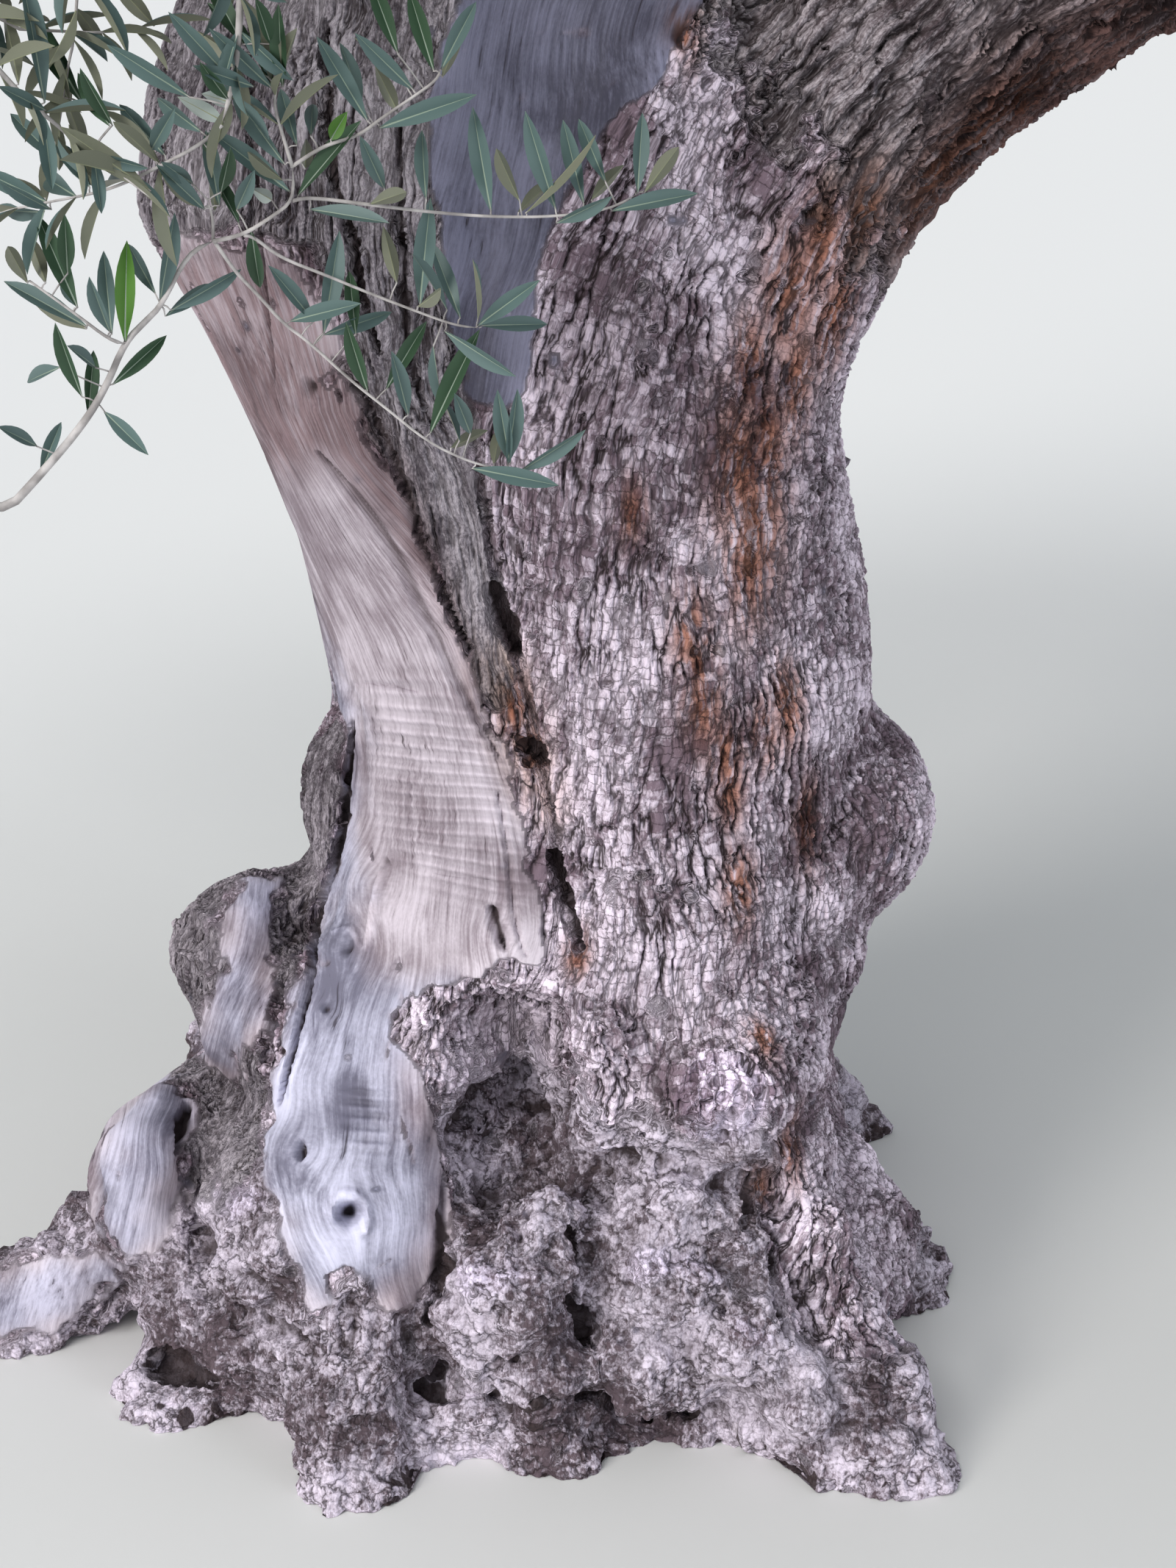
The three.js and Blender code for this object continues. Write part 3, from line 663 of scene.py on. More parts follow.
grounds = {
    "bare": [(310, 590), (400, 575), (495, 600), (560, 690), (609, 840), (655, 966), (690, 1020),
        (705, 1100), (726, 1196), (741, 1280), (738, 1325), (690, 1300), (648, 1326), (571, 1341),
        (533, 1375), (524, 1451), (567, 1579), (588, 1639), (575, 1705), (500, 1720), (451, 1736),
        (430, 1800), (397, 1724), (361, 1591), (373, 1464), (391, 1373), (425, 1315), (438, 1238),
        (462, 1165), (474, 1100), (478, 1000), (450, 930), (410, 860), (360, 760), (300, 660)],
    "brown top": [(150, 330), (420, 330), (470, 480), (480, 600), (441, 640), (348, 660), (230, 600)],
    "string": [(60, -160), (640, -160), (625, 0), (577, 131), (583, 183), (598, 314), (614, 471),
        (640, 523), (652, 640), (668, 745), (692, 860), (706, 950), (655, 966), (609, 840), (560, 690),
        (495, 600), (400, 575), (310, 590), (150, 620)],
    "slick": [(640, -160), (625, 0), (577, 131), (583, 183), (598, 314), (614, 471), (630, 540), (680, 560),
        (703, 545), (719, 523), (724, 471), (729, 366), (755, 293), (813, 188), (860, 136), (907, 105),
        (912, 73), (954, 0), (1010, -160)],
    "strip's border": [(520, 1400), (560, 1440), (600, 1560), (625, 1650), (590, 1740), (530, 1800),
        (500, 1740), (560, 1690), (572, 1600), (540, 1520)],
    "ripple": [(500, 960), (560, 900), (690, 980), (715, 1100), (738, 1200), (700, 1240), (590, 1210),
        (510, 1120)],
    "low ripple": [(466, 1474), (520, 1474), (545, 1560), (480, 1570)],
    "silver": [(250, 700), (345, 690), (410, 800), (470, 900), (490, 1000), (500, 1120), (470, 1250),
        (520, 1330), (640, 1335), (560, 1400), (600, 1640), (580, 1720), (440, 1810), (340, 1600),
        (360, 1400), (430, 1250), (400, 1000)],
    "warm": [(640, 880), (700, 860), (745, 1000), (770, 1130), (715, 1110), (670, 1000)],
    "brown wood": [(230, 430), (430, 430), (560, 640), (640, 860), (655, 966), (600, 830), (541, 750),
        (504, 690), (431, 610), (363, 596), (300, 600), (230, 560)],
    "knob column": [(397, 1036), (470, 960), (478, 1080), (455, 1180), (425, 1250), (420, 1330),
        (390, 1373), (365, 1464), (350, 1600), (300, 1700), (200, 1740), (60, 1717), (100, 1500),
        (190, 1250), (300, 1100)],
    "root lobe": [(316, 1199), (372, 1186), (398, 1192), (360, 1255), (366, 1330), (372, 1380), (335, 1418),
        (322, 1468), (272, 1442), (266, 1405), (291, 1355), (310, 1292)],
    "outer lobe": [(219, 1455), (260, 1480), (266, 1517), (241, 1567), (248, 1636), (216, 1686),
        (179, 1717), (147, 1699), (110, 1605), (140, 1520), (197, 1480)],
    "pale root": [(-200, 1740), (60, 1712), (172, 1710), (165, 1755), (60, 1810), (-200, 1880)],
    "pale lump": [(300, 1612), (350, 1610), (372, 1645), (330, 1660), (296, 1645)],
    "first lump": [(610, 1735), (650, 1705), (720, 1710), (745, 1745), (690, 1770), (625, 1775)],
    "second lump": [(850, 1705), (905, 1690), (960, 1700), (985, 1745), (930, 1730), (860, 1760)],
    "third lump": [(985, 1800), (1040, 1790), (1065, 1830), (1020, 1850)],
    "swirl": [(925, 1440), (985, 1420), (1045, 1455), (1060, 1510), (1010, 1560), (940, 1550), (910, 1500)],
    "right plates": [(1055, 1380), (1240, 1360), (1260, 1860), (1100, 1850), (1040, 1700), (1060, 1560)],
    "right shade": [(960, 1120), (1240, 1100), (1240, 1380), (1080, 1380), (990, 1300)],
    "fork shade": [(722, 560), (735, 420), (800, 330), (900, 380), (960, 520), (900, 620), (790, 640)],
}

# Rusty places: middle in the photo's pixels, and reach in metres
rustyPlaces = [
    ((1012, 640), 0.044), ((1035, 700), 0.046), ((1022, 760), 0.036), ((952, 900), 0.022),
    ((958, 960), 0.026), ((990, 1030), 0.024), ((995, 1080), 0.018), ((1025, 500), 0.026),
    ((1010, 1210), 0.022), ((1040, 1410), 0.018), ((726, 1022), 0.016), ((1082, 1561), 0.020),
    ((1033, 1615), 0.014), ((785, 1300), 0.014), ((928, 47), 0.018), ((1340, 190), 0.060),
    ((1280, 250), 0.050), ((1400, 130), 0.050), ((1120, 330), 0.030), ((860, 700), 0.016),
    ((700, 960), 0.014), ((1075, 960), 0.024), ((1100, 1120), 0.024), ((1078, 400), 0.034),
    ((1140, 430), 0.034), ((1085, 520), 0.030), ((1180, 300), 0.030), ((1048, 600), 0.030),
    ((940, 860), 0.022), ((1042, 1000), 0.018),
]

# Small marks that are cut or raised once the skin is fine
marks = [
    # what it is, reach and depth in metres, how blunt its edge is, and its way across the photo
    ("split beside the leader", 0.007, 0.012, 2, [(441, 31), (439, 105), (447, 251), (473, 303), (483, 366),
        (494, 418), (515, 481)]),
    ("split down to the strip", 0.006, 0.009, 2, [(473, 513), (504, 565), (536, 628), (557, 696),
        (577, 760), (640, 885)]),
    ("split under the slick wood", 0.006, 0.010, 2, [(541, 173), (541, 293), (551, 366), (551, 450),
        (567, 523), (577, 554)]),
    ("split at the leader's edge", 0.006, 0.008, 2, [(330, -40), (338, 150), (350, 330), (372, 520)]),
    ("edge of the strip", 0.009, 0.007, 2, [(431, 617), (504, 696), (541, 760), (590, 860), (640, 960),
        (680, 1030)]),
    ("seam", 0.008, 0.006, 2, [(632, 500), (650, 640), (668, 745), (692, 855), (712, 940), (735, 1030),
        (755, 1130), (765, 1215)]),
    ("gap beside the strip", 0.007, 0.016, 2, [(479, 985), (470, 1110), (452, 1180), (428, 1250),
        (424, 1320), (404, 1400), (380, 1500)]),
    ("long hollow", 0.013, 0.022, 2, [(668, 800), (680, 840), (700, 890)]),
    ("rusty hollow", 0.012, 0.018, 2, [(712, 1010), (735, 1036)]),
    ("slit", 0.009, 0.020, 2, [(752, 1160), (765, 1220), (785, 1290)]),
    ("hole under the strip", 0.010, 0.013, 2, [(667, 1238), (686, 1290)]),
    ("crack across", 0.004, 0.004, 2, [(480, 930), (530, 934), (570, 941)]),
    ("first thin crack", 0.004, 0.004, 2, [(557, 1060), (553, 1120), (560, 1180)]),
    ("second thin crack", 0.004, 0.005, 2, [(678, 1080), (690, 1150), (700, 1260), (715, 1300)]),
    ("rough knot", 0.013, -0.007, 2, [(525, 1178), (512, 1230), (502, 1290)]),
    ("rough knot's eye", 0.009, 0.010, 2, [(525, 1175)]),
    ("dark knot", 0.011, 0.012, 2, [(472, 1286)]),
    ("dark knot's rim", 0.008, -0.005, 2, [(455, 1270), (480, 1262), (492, 1290)]),
    ("tiny knot", 0.006, 0.008, 2, [(444, 1372)]),
    ("oval eye", 0.008, 0.014, 2, [(409, 1552), (409, 1576)]),
    ("deep knot hole", 0.015, 0.034, 2, [(476, 1652)]),
    ("deep knot hole's rim", 0.008, -0.006, 2, [(450, 1650), (460, 1625), (484, 1622), (502, 1645),
        (498, 1675)]),
    ("notch", 0.010, 0.010, 2, [(421, 528)]),
    ("darkest hole of the hollow", 0.014, 0.030, 2, [(658, 1539)]),
    ("small hole", 0.009, 0.018, 2, [(873, 1542)]),
    ("small swirl's eye", 0.008, 0.010, 2, [(833, 1421)]),
    ("small swirl's rim", 0.010, -0.006, 2, [(812, 1410), (830, 1396), (852, 1408), (850, 1436)]),
    ("swirl's eye", 0.008, 0.008, 2, [(985, 1494)]),
    ("inner ring of the swirl", 0.007, 0.005, 2, [(960, 1480), (985, 1467), (1008, 1482), (1008, 1508),
        (985, 1522), (962, 1508), (960, 1480)]),
    ("outer ring of the swirl", 0.008, 0.006, 2, [(930, 1490), (950, 1450), (990, 1436), (1030, 1455),
        (1042, 1500), (1020, 1540), (975, 1556), (938, 1530), (930, 1490)]),
    ("hole under the lumps", 0.013, 0.022, 2, [(906, 1930), (967, 1905)]),
    ("cut under the first lump", 0.013, 0.024, 2, [(573, 1882), (620, 1900), (664, 1912), (748, 1908)]),
    ("cut under the second lump", 0.011, 0.018, 2, [(790, 1905), (845, 1918), (880, 1925)]),
    ("groove left of the lumps", 0.009, 0.014, 2, [(606, 1600), (604, 1660), (596, 1730), (580, 1800)]),
    ("groove of the lumps", 0.010, 0.018, 2, [(779, 1676), (786, 1720), (780, 1761), (800, 1830)]),
    ("first right groove", 0.008, 0.012, 2, [(1021, 1600), (1021, 1658), (1030, 1700)]),
    ("second right groove", 0.009, 0.014, 2, [(1052, 1700), (1060, 1760), (1078, 1820)]),
    ("slot", 0.009, 0.022, 2, [(254, 1500), (248, 1530), (241, 1567)]),
    ("recess", 0.011, 0.020, 2, [(385, 1325), (362, 1400), (358, 1445)]),
    ("cavity at the left foot", 0.016, 0.028, 2, [(160, 1860), (220, 1850), (285, 1878)]),
    ("curly burl", 0.012, -0.008, 2, [(240, 1262), (262, 1240), (290, 1252), (300, 1285), (275, 1305),
        (248, 1295)]),
    ("curly burl's eye", 0.009, 0.012, 2, [(269, 1274)]),
    ("lip's hole", 0.012, 0.014, 2, [(928, 47)]),
    ("dark spot", 0.007, 0.008, 2, [(827, 929)]),
]


def rounded(outline):
    # cuts each corner off twice
    for number in range(2):
        ahead = np.roll(outline, -1, axis=0)
        cut = np.stack([outline * 0.75 + ahead * 0.25, outline * 0.25 + ahead * 0.75], axis=1)
        outline = cut.reshape(-1, 2)
    return outline


def insideOutline(pixels, outline, soft):
    outline = rounded(np.array(outline, dtype=float))
    inside = np.zeros(len(pixels), dtype=bool)
    nearest = np.full(len(pixels), np.inf)
    for start, end in zip(outline, np.roll(outline, -1, axis=0)):
        way = end - start
        share = np.clip((pixels - start) @ way / (way @ way), 0, 1)
        nearest = np.minimum(nearest, np.linalg.norm(pixels - start - share[:, None] * way, axis=1))
        if start[1] != end[1]:
            crosses = (pixels[:, 1] > start[1]) != (pixels[:, 1] > end[1])
            where = start[0] + (pixels[:, 1] - start[1]) / way[1] * way[0]
            inside ^= crosses & (pixels[:, 0] < where)
    return smoothStep(np.where(inside, nearest, -nearest), -soft, soft)


# How the fibres of live and dead wood run up the trunk and on into its limbs
guides = {
    "live": [
        (0.16, 0, -0.1), (0.15, 0, 0.3), (0.155, 0, 0.6), (0.165, 0, 0.8), (0.195, 0, 0.96), (0.26, 0, 1.12),
    ],
    "dead": [
        (-0.12, 0, -0.1), (-0.10, 0, 0.3), (-0.055, 0, 0.6), (-0.08, 0, 0.8), (-0.12, 0, 1.0),
        (-0.125, 0, 1.15), (-0.09, 0, 1.3),
    ],
    # how far right of the middle the live wood meets the dead wood, by height
    "seamHeights": [0, 0.40, 0.47, 0.53, 0.65, 0.77, 0.90, 1.10, 1.30],
    "seamPlaces": [0.03, 0.03, 0.065, 0.076, 0.056, 0.029, 0.0, -0.03, -0.02],
    "steps": 26,
    "blend": 0.05,
    "forkHeights": (1.2, 1.4),  # between which the nearer limb takes the seam's place
    "girths": {"trunk": 0.19, "fork": 0.15, "forkHeight": 1.3},
}


def sampled(path, steps):
    return np.array([pointAt(path, share) for share in np.linspace(0, 1, steps + 1)])


def framesAlong(path, side):
    # directions along a path, and two square to them that turn with it as little as they can
    ways = np.gradient(path, axis=0)
    ways /= np.linalg.norm(ways, axis=1)[:, None]
    sides = []
    for way in ways:
        side = unit(side - way * (side @ way))
        sides.append(side)
    sides = np.array(sides)
    return sides, np.cross(ways, sides)


def grainAlong(places, guide):
    # how far each place lies from a guide, and its place in the guide's own straightened measure
    path, far = guide["path"], lengthsAlong(guide["path"])
    nearest = np.full(len(places), np.inf)
    grain = np.zeros((len(places), 3))
    last = len(path) - 2
    for number, (start, end) in enumerate(zip(path, path[1:])):
        way = end - start
        share = (places - start) @ way / (way @ way)
        share = np.clip(share, -9 if number == 0 else 0, 9 if number == last else 1)
        offset = places - start - share[:, None] * way
        away = np.linalg.norm(offset, axis=1)
        closer = np.flatnonzero(away < nearest)
        nearest[closer] = away[closer]
        offset, share = offset[closer], share[closer]
        turned = []
        for frames in (guide["sides"], guide["besides"]):
            side = frames[number] + np.clip(share, 0, 1)[:, None] * (frames[number + 1] - frames[number])
            turned.append((offset * side).sum(axis=1))
        length = far[number] + share * (far[number + 1] - far[number])
        grain[closer] = np.column_stack([*turned, length]) + guide["from"]
    return nearest, grain


def makeGuide(path, side, origin):
    sides, besides = framesAlong(path, side)
    return {"path": path, "sides": sides, "besides": besides, "from": np.array(origin)}


def shapeGuides(shaped):
    made = {}
    steps = guides["steps"]
    for name, limb in (("live", "right_bough"), ("dead", "left_leader")):
        limbPath = sampled(shaped[limb]["path"], steps)
        path = np.vstack([cutCorners([*guides[name], limbPath[0]]), limbPath[1:]])
        made[limb] = makeGuide(path, np.array([1.0, 0, 0]), path[0])
    for name, parent, at, *rest in limbs["list"]:
        if name in made:
            continue
        path = sampled(shaped[name]["path"], steps)
        away, origin = grainAlong(path[:1], made[parent])
        nearest = np.linalg.norm(made[parent]["path"] - path[0], axis=1).argmin()
        made[name] = makeGuide(path, made[parent]["sides"][nearest], origin[0])
    return made


def girthAlong(limb, grain, guide):
    total = lengthsAlong(guide["path"])[-1]
    share = np.clip((grain[:, 2] - guide["from"][2]) / total, 0, 1)
    return limb["butt"] + share * (limb["tip"] - limb["butt"])


def straighten(places, shaped):
    # every place's grain coordinates, and how thick the wood is there
    made = shapeGuides(shaped)
    liveAway, liveGrain = grainAlong(places, made["right_bough"])
    deadAway, deadGrain = grainAlong(places, made["left_leader"])
    seam = places[:, 0] - np.interp(places[:, 2], guides["seamHeights"], guides["seamPlaces"])
    above = smoothStep(places[:, 2], *guides["forkHeights"])
    live = smoothStep((1 - above) * seam * 2 + above * (deadAway - liveAway), -0.01, 0.01)
    grain = deadGrain + live[:, None] * (liveGrain - deadGrain)
    girths = guides["girths"]
    lived = np.where(places[:, 2] > girths["forkHeight"], girths["fork"], girths["trunk"])
    girth = girths["trunk"] + live * (lived - girths["trunk"])
    nearest = np.minimum(liveAway, deadAway) - girths["fork"]
    for name, limb in shaped.items():
        if name in ("right_bough", "left_leader"):
            continue
        path = made[name]["path"]
        margin = limb["butt"] * 2 + guides["blend"]
        low, high = path.min(axis=0) - margin, path.max(axis=0) + margin
        held = np.flatnonzero(((places > low) & (places < high)).all(axis=1))
        away, limbGrain = grainAlong(places[held], made[name])
        thickness = girthAlong(limb, limbGrain, made[name])
        away -= thickness
        share = smoothStep(nearest[held] - away, -guides["blend"] / 2, guides["blend"] / 2)
        grain[held] += share[:, None] * (limbGrain - grain[held])
        girth[held] += share * (thickness - girth[held])
        nearest[held] = np.minimum(nearest[held], away)
    return grain, girth, live


def cavityOf(piece, places, normals, rounds):
    # how far each place lies below the smoothed skin, in metres
    count = len(places)
    ends = np.empty(len(piece.data.edges) * 2, dtype=np.int64)
    piece.data.edges.foreach_get("vertices", ends)
    one, other = ends.reshape(-1, 2).T
    shares = np.bincount(one, minlength=count) + np.bincount(other, minlength=count)
    soft = places.copy()
    for number in range(rounds):
        total = np.empty_like(soft)
        for axis in range(3):
            total[:, axis] = np.bincount(one, soft[other, axis], count)
            total[:, axis] += np.bincount(other, soft[one, axis], count)
        soft = total / shares[:, None]
    return ((soft - places) * normals).sum(axis=1)


def keep(piece, name, values):
    vector = values.ndim == 2
    layer = piece.data.attributes.new(name, "FLOAT_VECTOR" if vector else "FLOAT", "POINT")
    layer.data.foreach_set("vector" if vector else "value", values.astype(np.float32).ravel())


def unevenShare(places, values, seed):
    # a soft border made uneven
    borders = cover["borders"]
    return smoothStep(values + borders["amount"] * cloud(places, borders["size"], 3, seed), *borders["share"])


# How the fibres of the bare wood run across the photo: both edges of the strip by height, and what bends them
flow = {
    "heights": [330, 560, 625, 933, 1030, 1110, 1200, 1320, 1464, 1591, 1724, 1800],
    "left": [190, 310, 348, 469, 480, 470, 440, 425, 372, 361, 397, 430],
    "rightHeights": [330, 560, 619, 867, 1010, 1208, 1307, 1800],
    "right": [330, 410, 441, 617, 678, 733, 744, 790],
    "width": 250,
    "pixel": 0.00055,  # metres to a pixel of the photo
    "lobeLean": 0.22,
    "slickLean": 0.24,
    "rippleLean": 0.12,
    "middle": 560,
    # each knot that the fibres run round, and its reach
    "knots": [
        ((476, 1652), 42), ((409, 1564), 30), ((472, 1286), 30), ((516, 1200), 34), ((444, 1372), 16),
        ((690, 1270), 26), ((240, 1540), 26),
    ],
    "bend": 0.75,
}

# how fibres wander sideways, all over and where they lie loose: size, seed, and how far
wander = {"wide": (0.120, 90, 0.013), "fine": (0.020, 110, 0.0035)}


def flowOf(pixels, slick):
    # coordinates across and along the fibres of the bare wood
    x, y = pixels[:, 0].copy(), pixels[:, 1].copy()
    for (knotX, knotY), reach in flow["knots"]:
        away = ((pixels[:, 0] - knotX) ** 2 + (pixels[:, 1] - knotY) ** 2) / (2 * reach ** 2)
        x -= (pixels[:, 0] - knotX) * flow["bend"] * np.exp(-away)
    left = np.interp(y, flow["heights"], flow["left"])
    right = np.interp(y, flow["rightHeights"], flow["right"])
    across = (x - left) / (right - left) * flow["width"]
    across = np.where(x < left - 8, x + y * flow["lobeLean"], across)
    across = np.where(slick > 0.5, x + y * flow["slickLean"], across)
    along = -y + flow["rippleLean"] * (x - flow["middle"])
    return np.column_stack([across, np.zeros(len(x)), along]) * flow["pixel"]


def fibresOf(grain, loose):
    # grain coordinates that wander sideways, as fibres do, and the less so the less loose they lie
    fibres = grain.copy()
    for (size, seed, far), share in ((wander["wide"], 1), (wander["fine"], loose)):
        for axis in range(3):
            fibres[:, axis] += far * share * cloud(grain, size, 2, seed + axis * 7)
    return fibres


def raiseCrumbs(places, normals, rough):
    height = np.zeros(len(places))
    seed, halfSeed = crumbs["seeds"]
    for number, (size, high) in enumerate(crumbs["grains"]):
        wave = softNoise(places, size, seed + number)
        wave += crumbs["half"] * softNoise(places, size / 2, halfSeed + number)
        height += high * (np.abs(wave) * 2 - crumbs["low"])
    return places + normals * (height * rough)[:, None]


# How soft the borders of the grounds are, in pixels, the heights between which they change, and seeds
cover = {
    "front": (0.0, 0.09),  # along Y, where the front's grounds end
    "near": {"back": 0.12, "top": 1.5},
    "soft": 14,
    "leader": {"low": (1.36, 1.48), "high": (1.75, 2.1), "back": (0.03, 0.13)},
    "foot": (0.27, 0.40),
    "columnEnd": (1560, 1680),  # pixels down the photo
    "shag": {"lean": (0.8, 0.6), "slope": (0.84, 0.98), "left": (0.02, 0.14), "high": (1.7, 2.0)},
    "rust": {"squash": 0.45, "inner": 0.1, "outer": 1.6, "under": 0.7},
    "under": (0.1, 0.7),
    "borders": {"size": 0.024, "amount": 0.5, "share": (0.36, 0.64), "seed": 30},
    "hollows": ((30, 1.0), (130, 0.45)),  # rounds of smoothing that they are measured from, and their weight
    "backHollows": 0.4,  # the skin's cells are wider at the back
    "thickest": 0.15,
    "thinnest": 0.12,
}


def highest(*shares):
    return np.maximum.reduce(shares)


def rustOn(piece, places):
    rust, squash = cover["rust"], (1, 1, cover["rust"]["squash"])
    share, tree = np.zeros(len(places)), treeOf(piece)
    for pixel, reach in rustyPlaces:
        path = pathOnSkin(tree, [pixel])
        if path:
            away = distanceTo(places * squash, np.array(path) * squash)[0]
            share = np.maximum(share, 1 - smoothStep(away, reach * rust["inner"], reach * rust["outer"]))
    return share


def coverGround(piece, shaped):
    places, normals = getPlaces(piece), getNormals(piece)
    pixels = photoPixels(places)
    grain, girth, live = straighten(places, shaped)
    x, y, z = places.T
    front = 1 - smoothStep(y, *cover["front"])
    near = (y < cover["near"]["back"]) & (z < cover["near"]["top"])

    def ground(name, soft=cover["soft"]):
        share = np.zeros(len(places))
        share[near] = insideOutline(pixels[near], grounds[name], soft) * front[near]
        return share

    brownTop = ground("brown top", 50)
    strip = highest(ground("bare", 24), ground("strip's border", 16), brownTop * 0.85)
    slick = ground("slick")
    lobes = highest(*[ground(name, 36) for name in ("root lobe", "outer lobe", "pale root")])
    paleNames = ("pale lump", "first lump", "second lump", "third lump", "swirl")
    pale = highest(*[ground(name, 30) for name in paleNames])
    bare = np.maximum(strip, lobes)
    leader = np.clip((1 - live) * smoothStep(z, *cover["leader"]["low"]), 0, 1)
    leader *= (1 - smoothStep(y, *cover["leader"]["back"])) * (1 - smoothStep(z, *cover["leader"]["high"]))
    column = ground("knob column", 30) * (1 - smoothStep(pixels[:, 1], *cover["columnEnd"])) * 0.9
    string = np.maximum(ground("string", 20), leader * (1 - slick)) * (1 - strip)
    string = np.maximum(string, column) * (1 - bare)
    foot = 1 - smoothStep(z, *cover["foot"])
    knobby = foot * (1 - ground("right plates", 20)) * (1 - column) * (1 - bare)
    leanX, leanZ = cover["shag"]["lean"]
    shag = smoothStep(leanX * x + leanZ * z, *cover["shag"]["slope"]) * smoothStep(x, *cover["shag"]["left"])
    shag *= (1 - smoothStep(z, *cover["shag"]["high"])) * (1 - slick) * (1 - string)
    # painted shade: the shaggy bark is browner where it faces down, and rustier at 0.7 of that
    under = smoothStep(-normals[:, 2], *cover["under"]) * shag
    rust = np.maximum(rustOn(piece, places), under * cover["rust"]["under"])
    edges = {"shag": shag, "knobby": knobby, "string": string, "bare": bare, "slick": slick}
    for number, name in enumerate(edges):
        edges[name] = unevenShare(places, edges[name], cover["borders"]["seed"] + number * 3)
    smooth = np.maximum(edges["bare"], edges["slick"])
    setPlaces(piece, raiseCrumbs(places, normals, edges["knobby"] * (1 - smooth)))
    places, normals = getPlaces(piece), getNormals(piece)
    inWood = smooth > 0.5
    fading = cloud(grain / (1, 1, 2), 0.034, 3, 140)
    grain[inWood] = flowOf(pixels[inWood], edges["slick"][inWood])
    silver = np.maximum(ground("silver", 60), lobes * 0.7) + 0.3 * cloud(places, 0.05, 3, 150)
    cavity = sum(weight * cavityOf(piece, places, normals, rounds) for rounds, weight in cover["hollows"])
    for name, values in {
        **edges,
        "rest": places,
        "outward": normals,
        "fibres": fibresOf(grain, 1 - 0.85 * smooth),
        "girth": np.clip(girth / cover["thickest"], cover["thinnest"], 1),
        "fading": smoothStep(fading, -0.35, 0.35),
        "silver": smoothStep(silver, 0.2, 0.9),
        "warm": ground("warm", 40),
        "brown": highest(ground("brown wood", 30), ground("strip's border", 20) * 0.5, brownTop, under),
        "ripple": np.maximum(ground("ripple", 40), ground("low ripple", 24)),
        "rust": rust,
        "pale": smoothStep(pale + 0.4 * cloud(places, 0.04, 3, 160), 0.3, 0.95),
        # painted shade: the fork's shadow and the shaded right side, with darker lobes, knob column and
        # ripples
        "shade": highest(ground("right shade", 70) * 0.15, ground("fork shade", 60) * 0.7, lobes * 0.45,
                         column * 0.5, ground("ripple", 40) * 0.22),
        "patches": 0.5 + 0.6 * cloud(places, 0.060, 4, 170),
        "cavity": cavity * (cover["backHollows"] + (1 - cover["backHollows"]) * front),
    }.items():
        keep(piece, name, values)


# Nodes, put together the same way for the relief and for the materials

def put(tree, kind, inputs=None, **settings):
    node = tree.nodes.new(kind)
    for name, value in settings.items():
        setattr(node, name, value)
    for name, value in (inputs or {}).items():
        if isinstance(value, bpy.types.NodeSocket):
            tree.links.new(value, node.inputs[name])
        else:
            node.inputs[name].default_value = value
    return node


def calc(tree, operation, first, second=0.0, third=0.0, clamp=False):
    inputs = {0: first, 1: second, 2: third}
    return put(tree, "ShaderNodeMath", inputs, operation=operation, use_clamp=clamp).outputs[0]


def vectorCalc(tree, operation, first, second):
    return put(tree, "ShaderNodeVectorMath", {0: first, 1: second}, operation=operation).outputs[0]


def ramp(tree, value, low, high, start=0.0, end=1.0):
    inputs = {"Value": value, "From Min": low, "From Max": high, "To Min": start, "To Max": end}
    return put(tree, "ShaderNodeMapRange", inputs, interpolation_type="SMOOTHSTEP").outputs[0]


def mixed(tree, share, first, second):
    return put(tree, "ShaderNodeMix", {0: share, 2: first, 3: second}, data_type="FLOAT").outputs[0]


def mixedVector(tree, share, first, second):
    return put(tree, "ShaderNodeMix", {0: share, 4: first, 5: second}, data_type="VECTOR").outputs[1]


def mixedColour(tree, share, first, second, way="MIX"):
    inputs = {0: share, 6: first, 7: second}
    return put(tree, "ShaderNodeMix", inputs, data_type="RGBA", blend_type=way).outputs[2]


def noise(tree, vector, scale, detail=2.0, roughness=0.5):
    inputs = {"Vector": vector, "Scale": scale, "Detail": detail, "Roughness": roughness}
    return put(tree, "ShaderNodeTexNoise", inputs)


def cellEdges(tree, scaled, randomness=1.0):
    # distance from the edges of cells one unit wide
    inputs = {"Vector": scaled, "Scale": 1.0, "Randomness": randomness}
    return put(tree, "ShaderNodeTexVoronoi", inputs, feature="DISTANCE_TO_EDGE").outputs["Distance"]


def cellTone(tree, scaled, randomness=1.0):
    cells = put(tree, "ShaderNodeTexVoronoi", {"Vector": scaled, "Scale": 1.0, "Randomness": randomness})
    return put(tree, "ShaderNodeSeparateXYZ", {0: cells.outputs["Color"]}).outputs[0]


def kept(tree, name, vector=False):
    if tree.bl_idname == "GeometryNodeTree":
        kind = "FLOAT_VECTOR" if vector else "FLOAT"
        return put(tree, "GeometryNodeInputNamedAttribute", {"Name": name}, data_type=kind).outputs[0]
    return put(tree, "ShaderNodeAttribute", attribute_name=name).outputs["Vector" if vector else "Fac"]


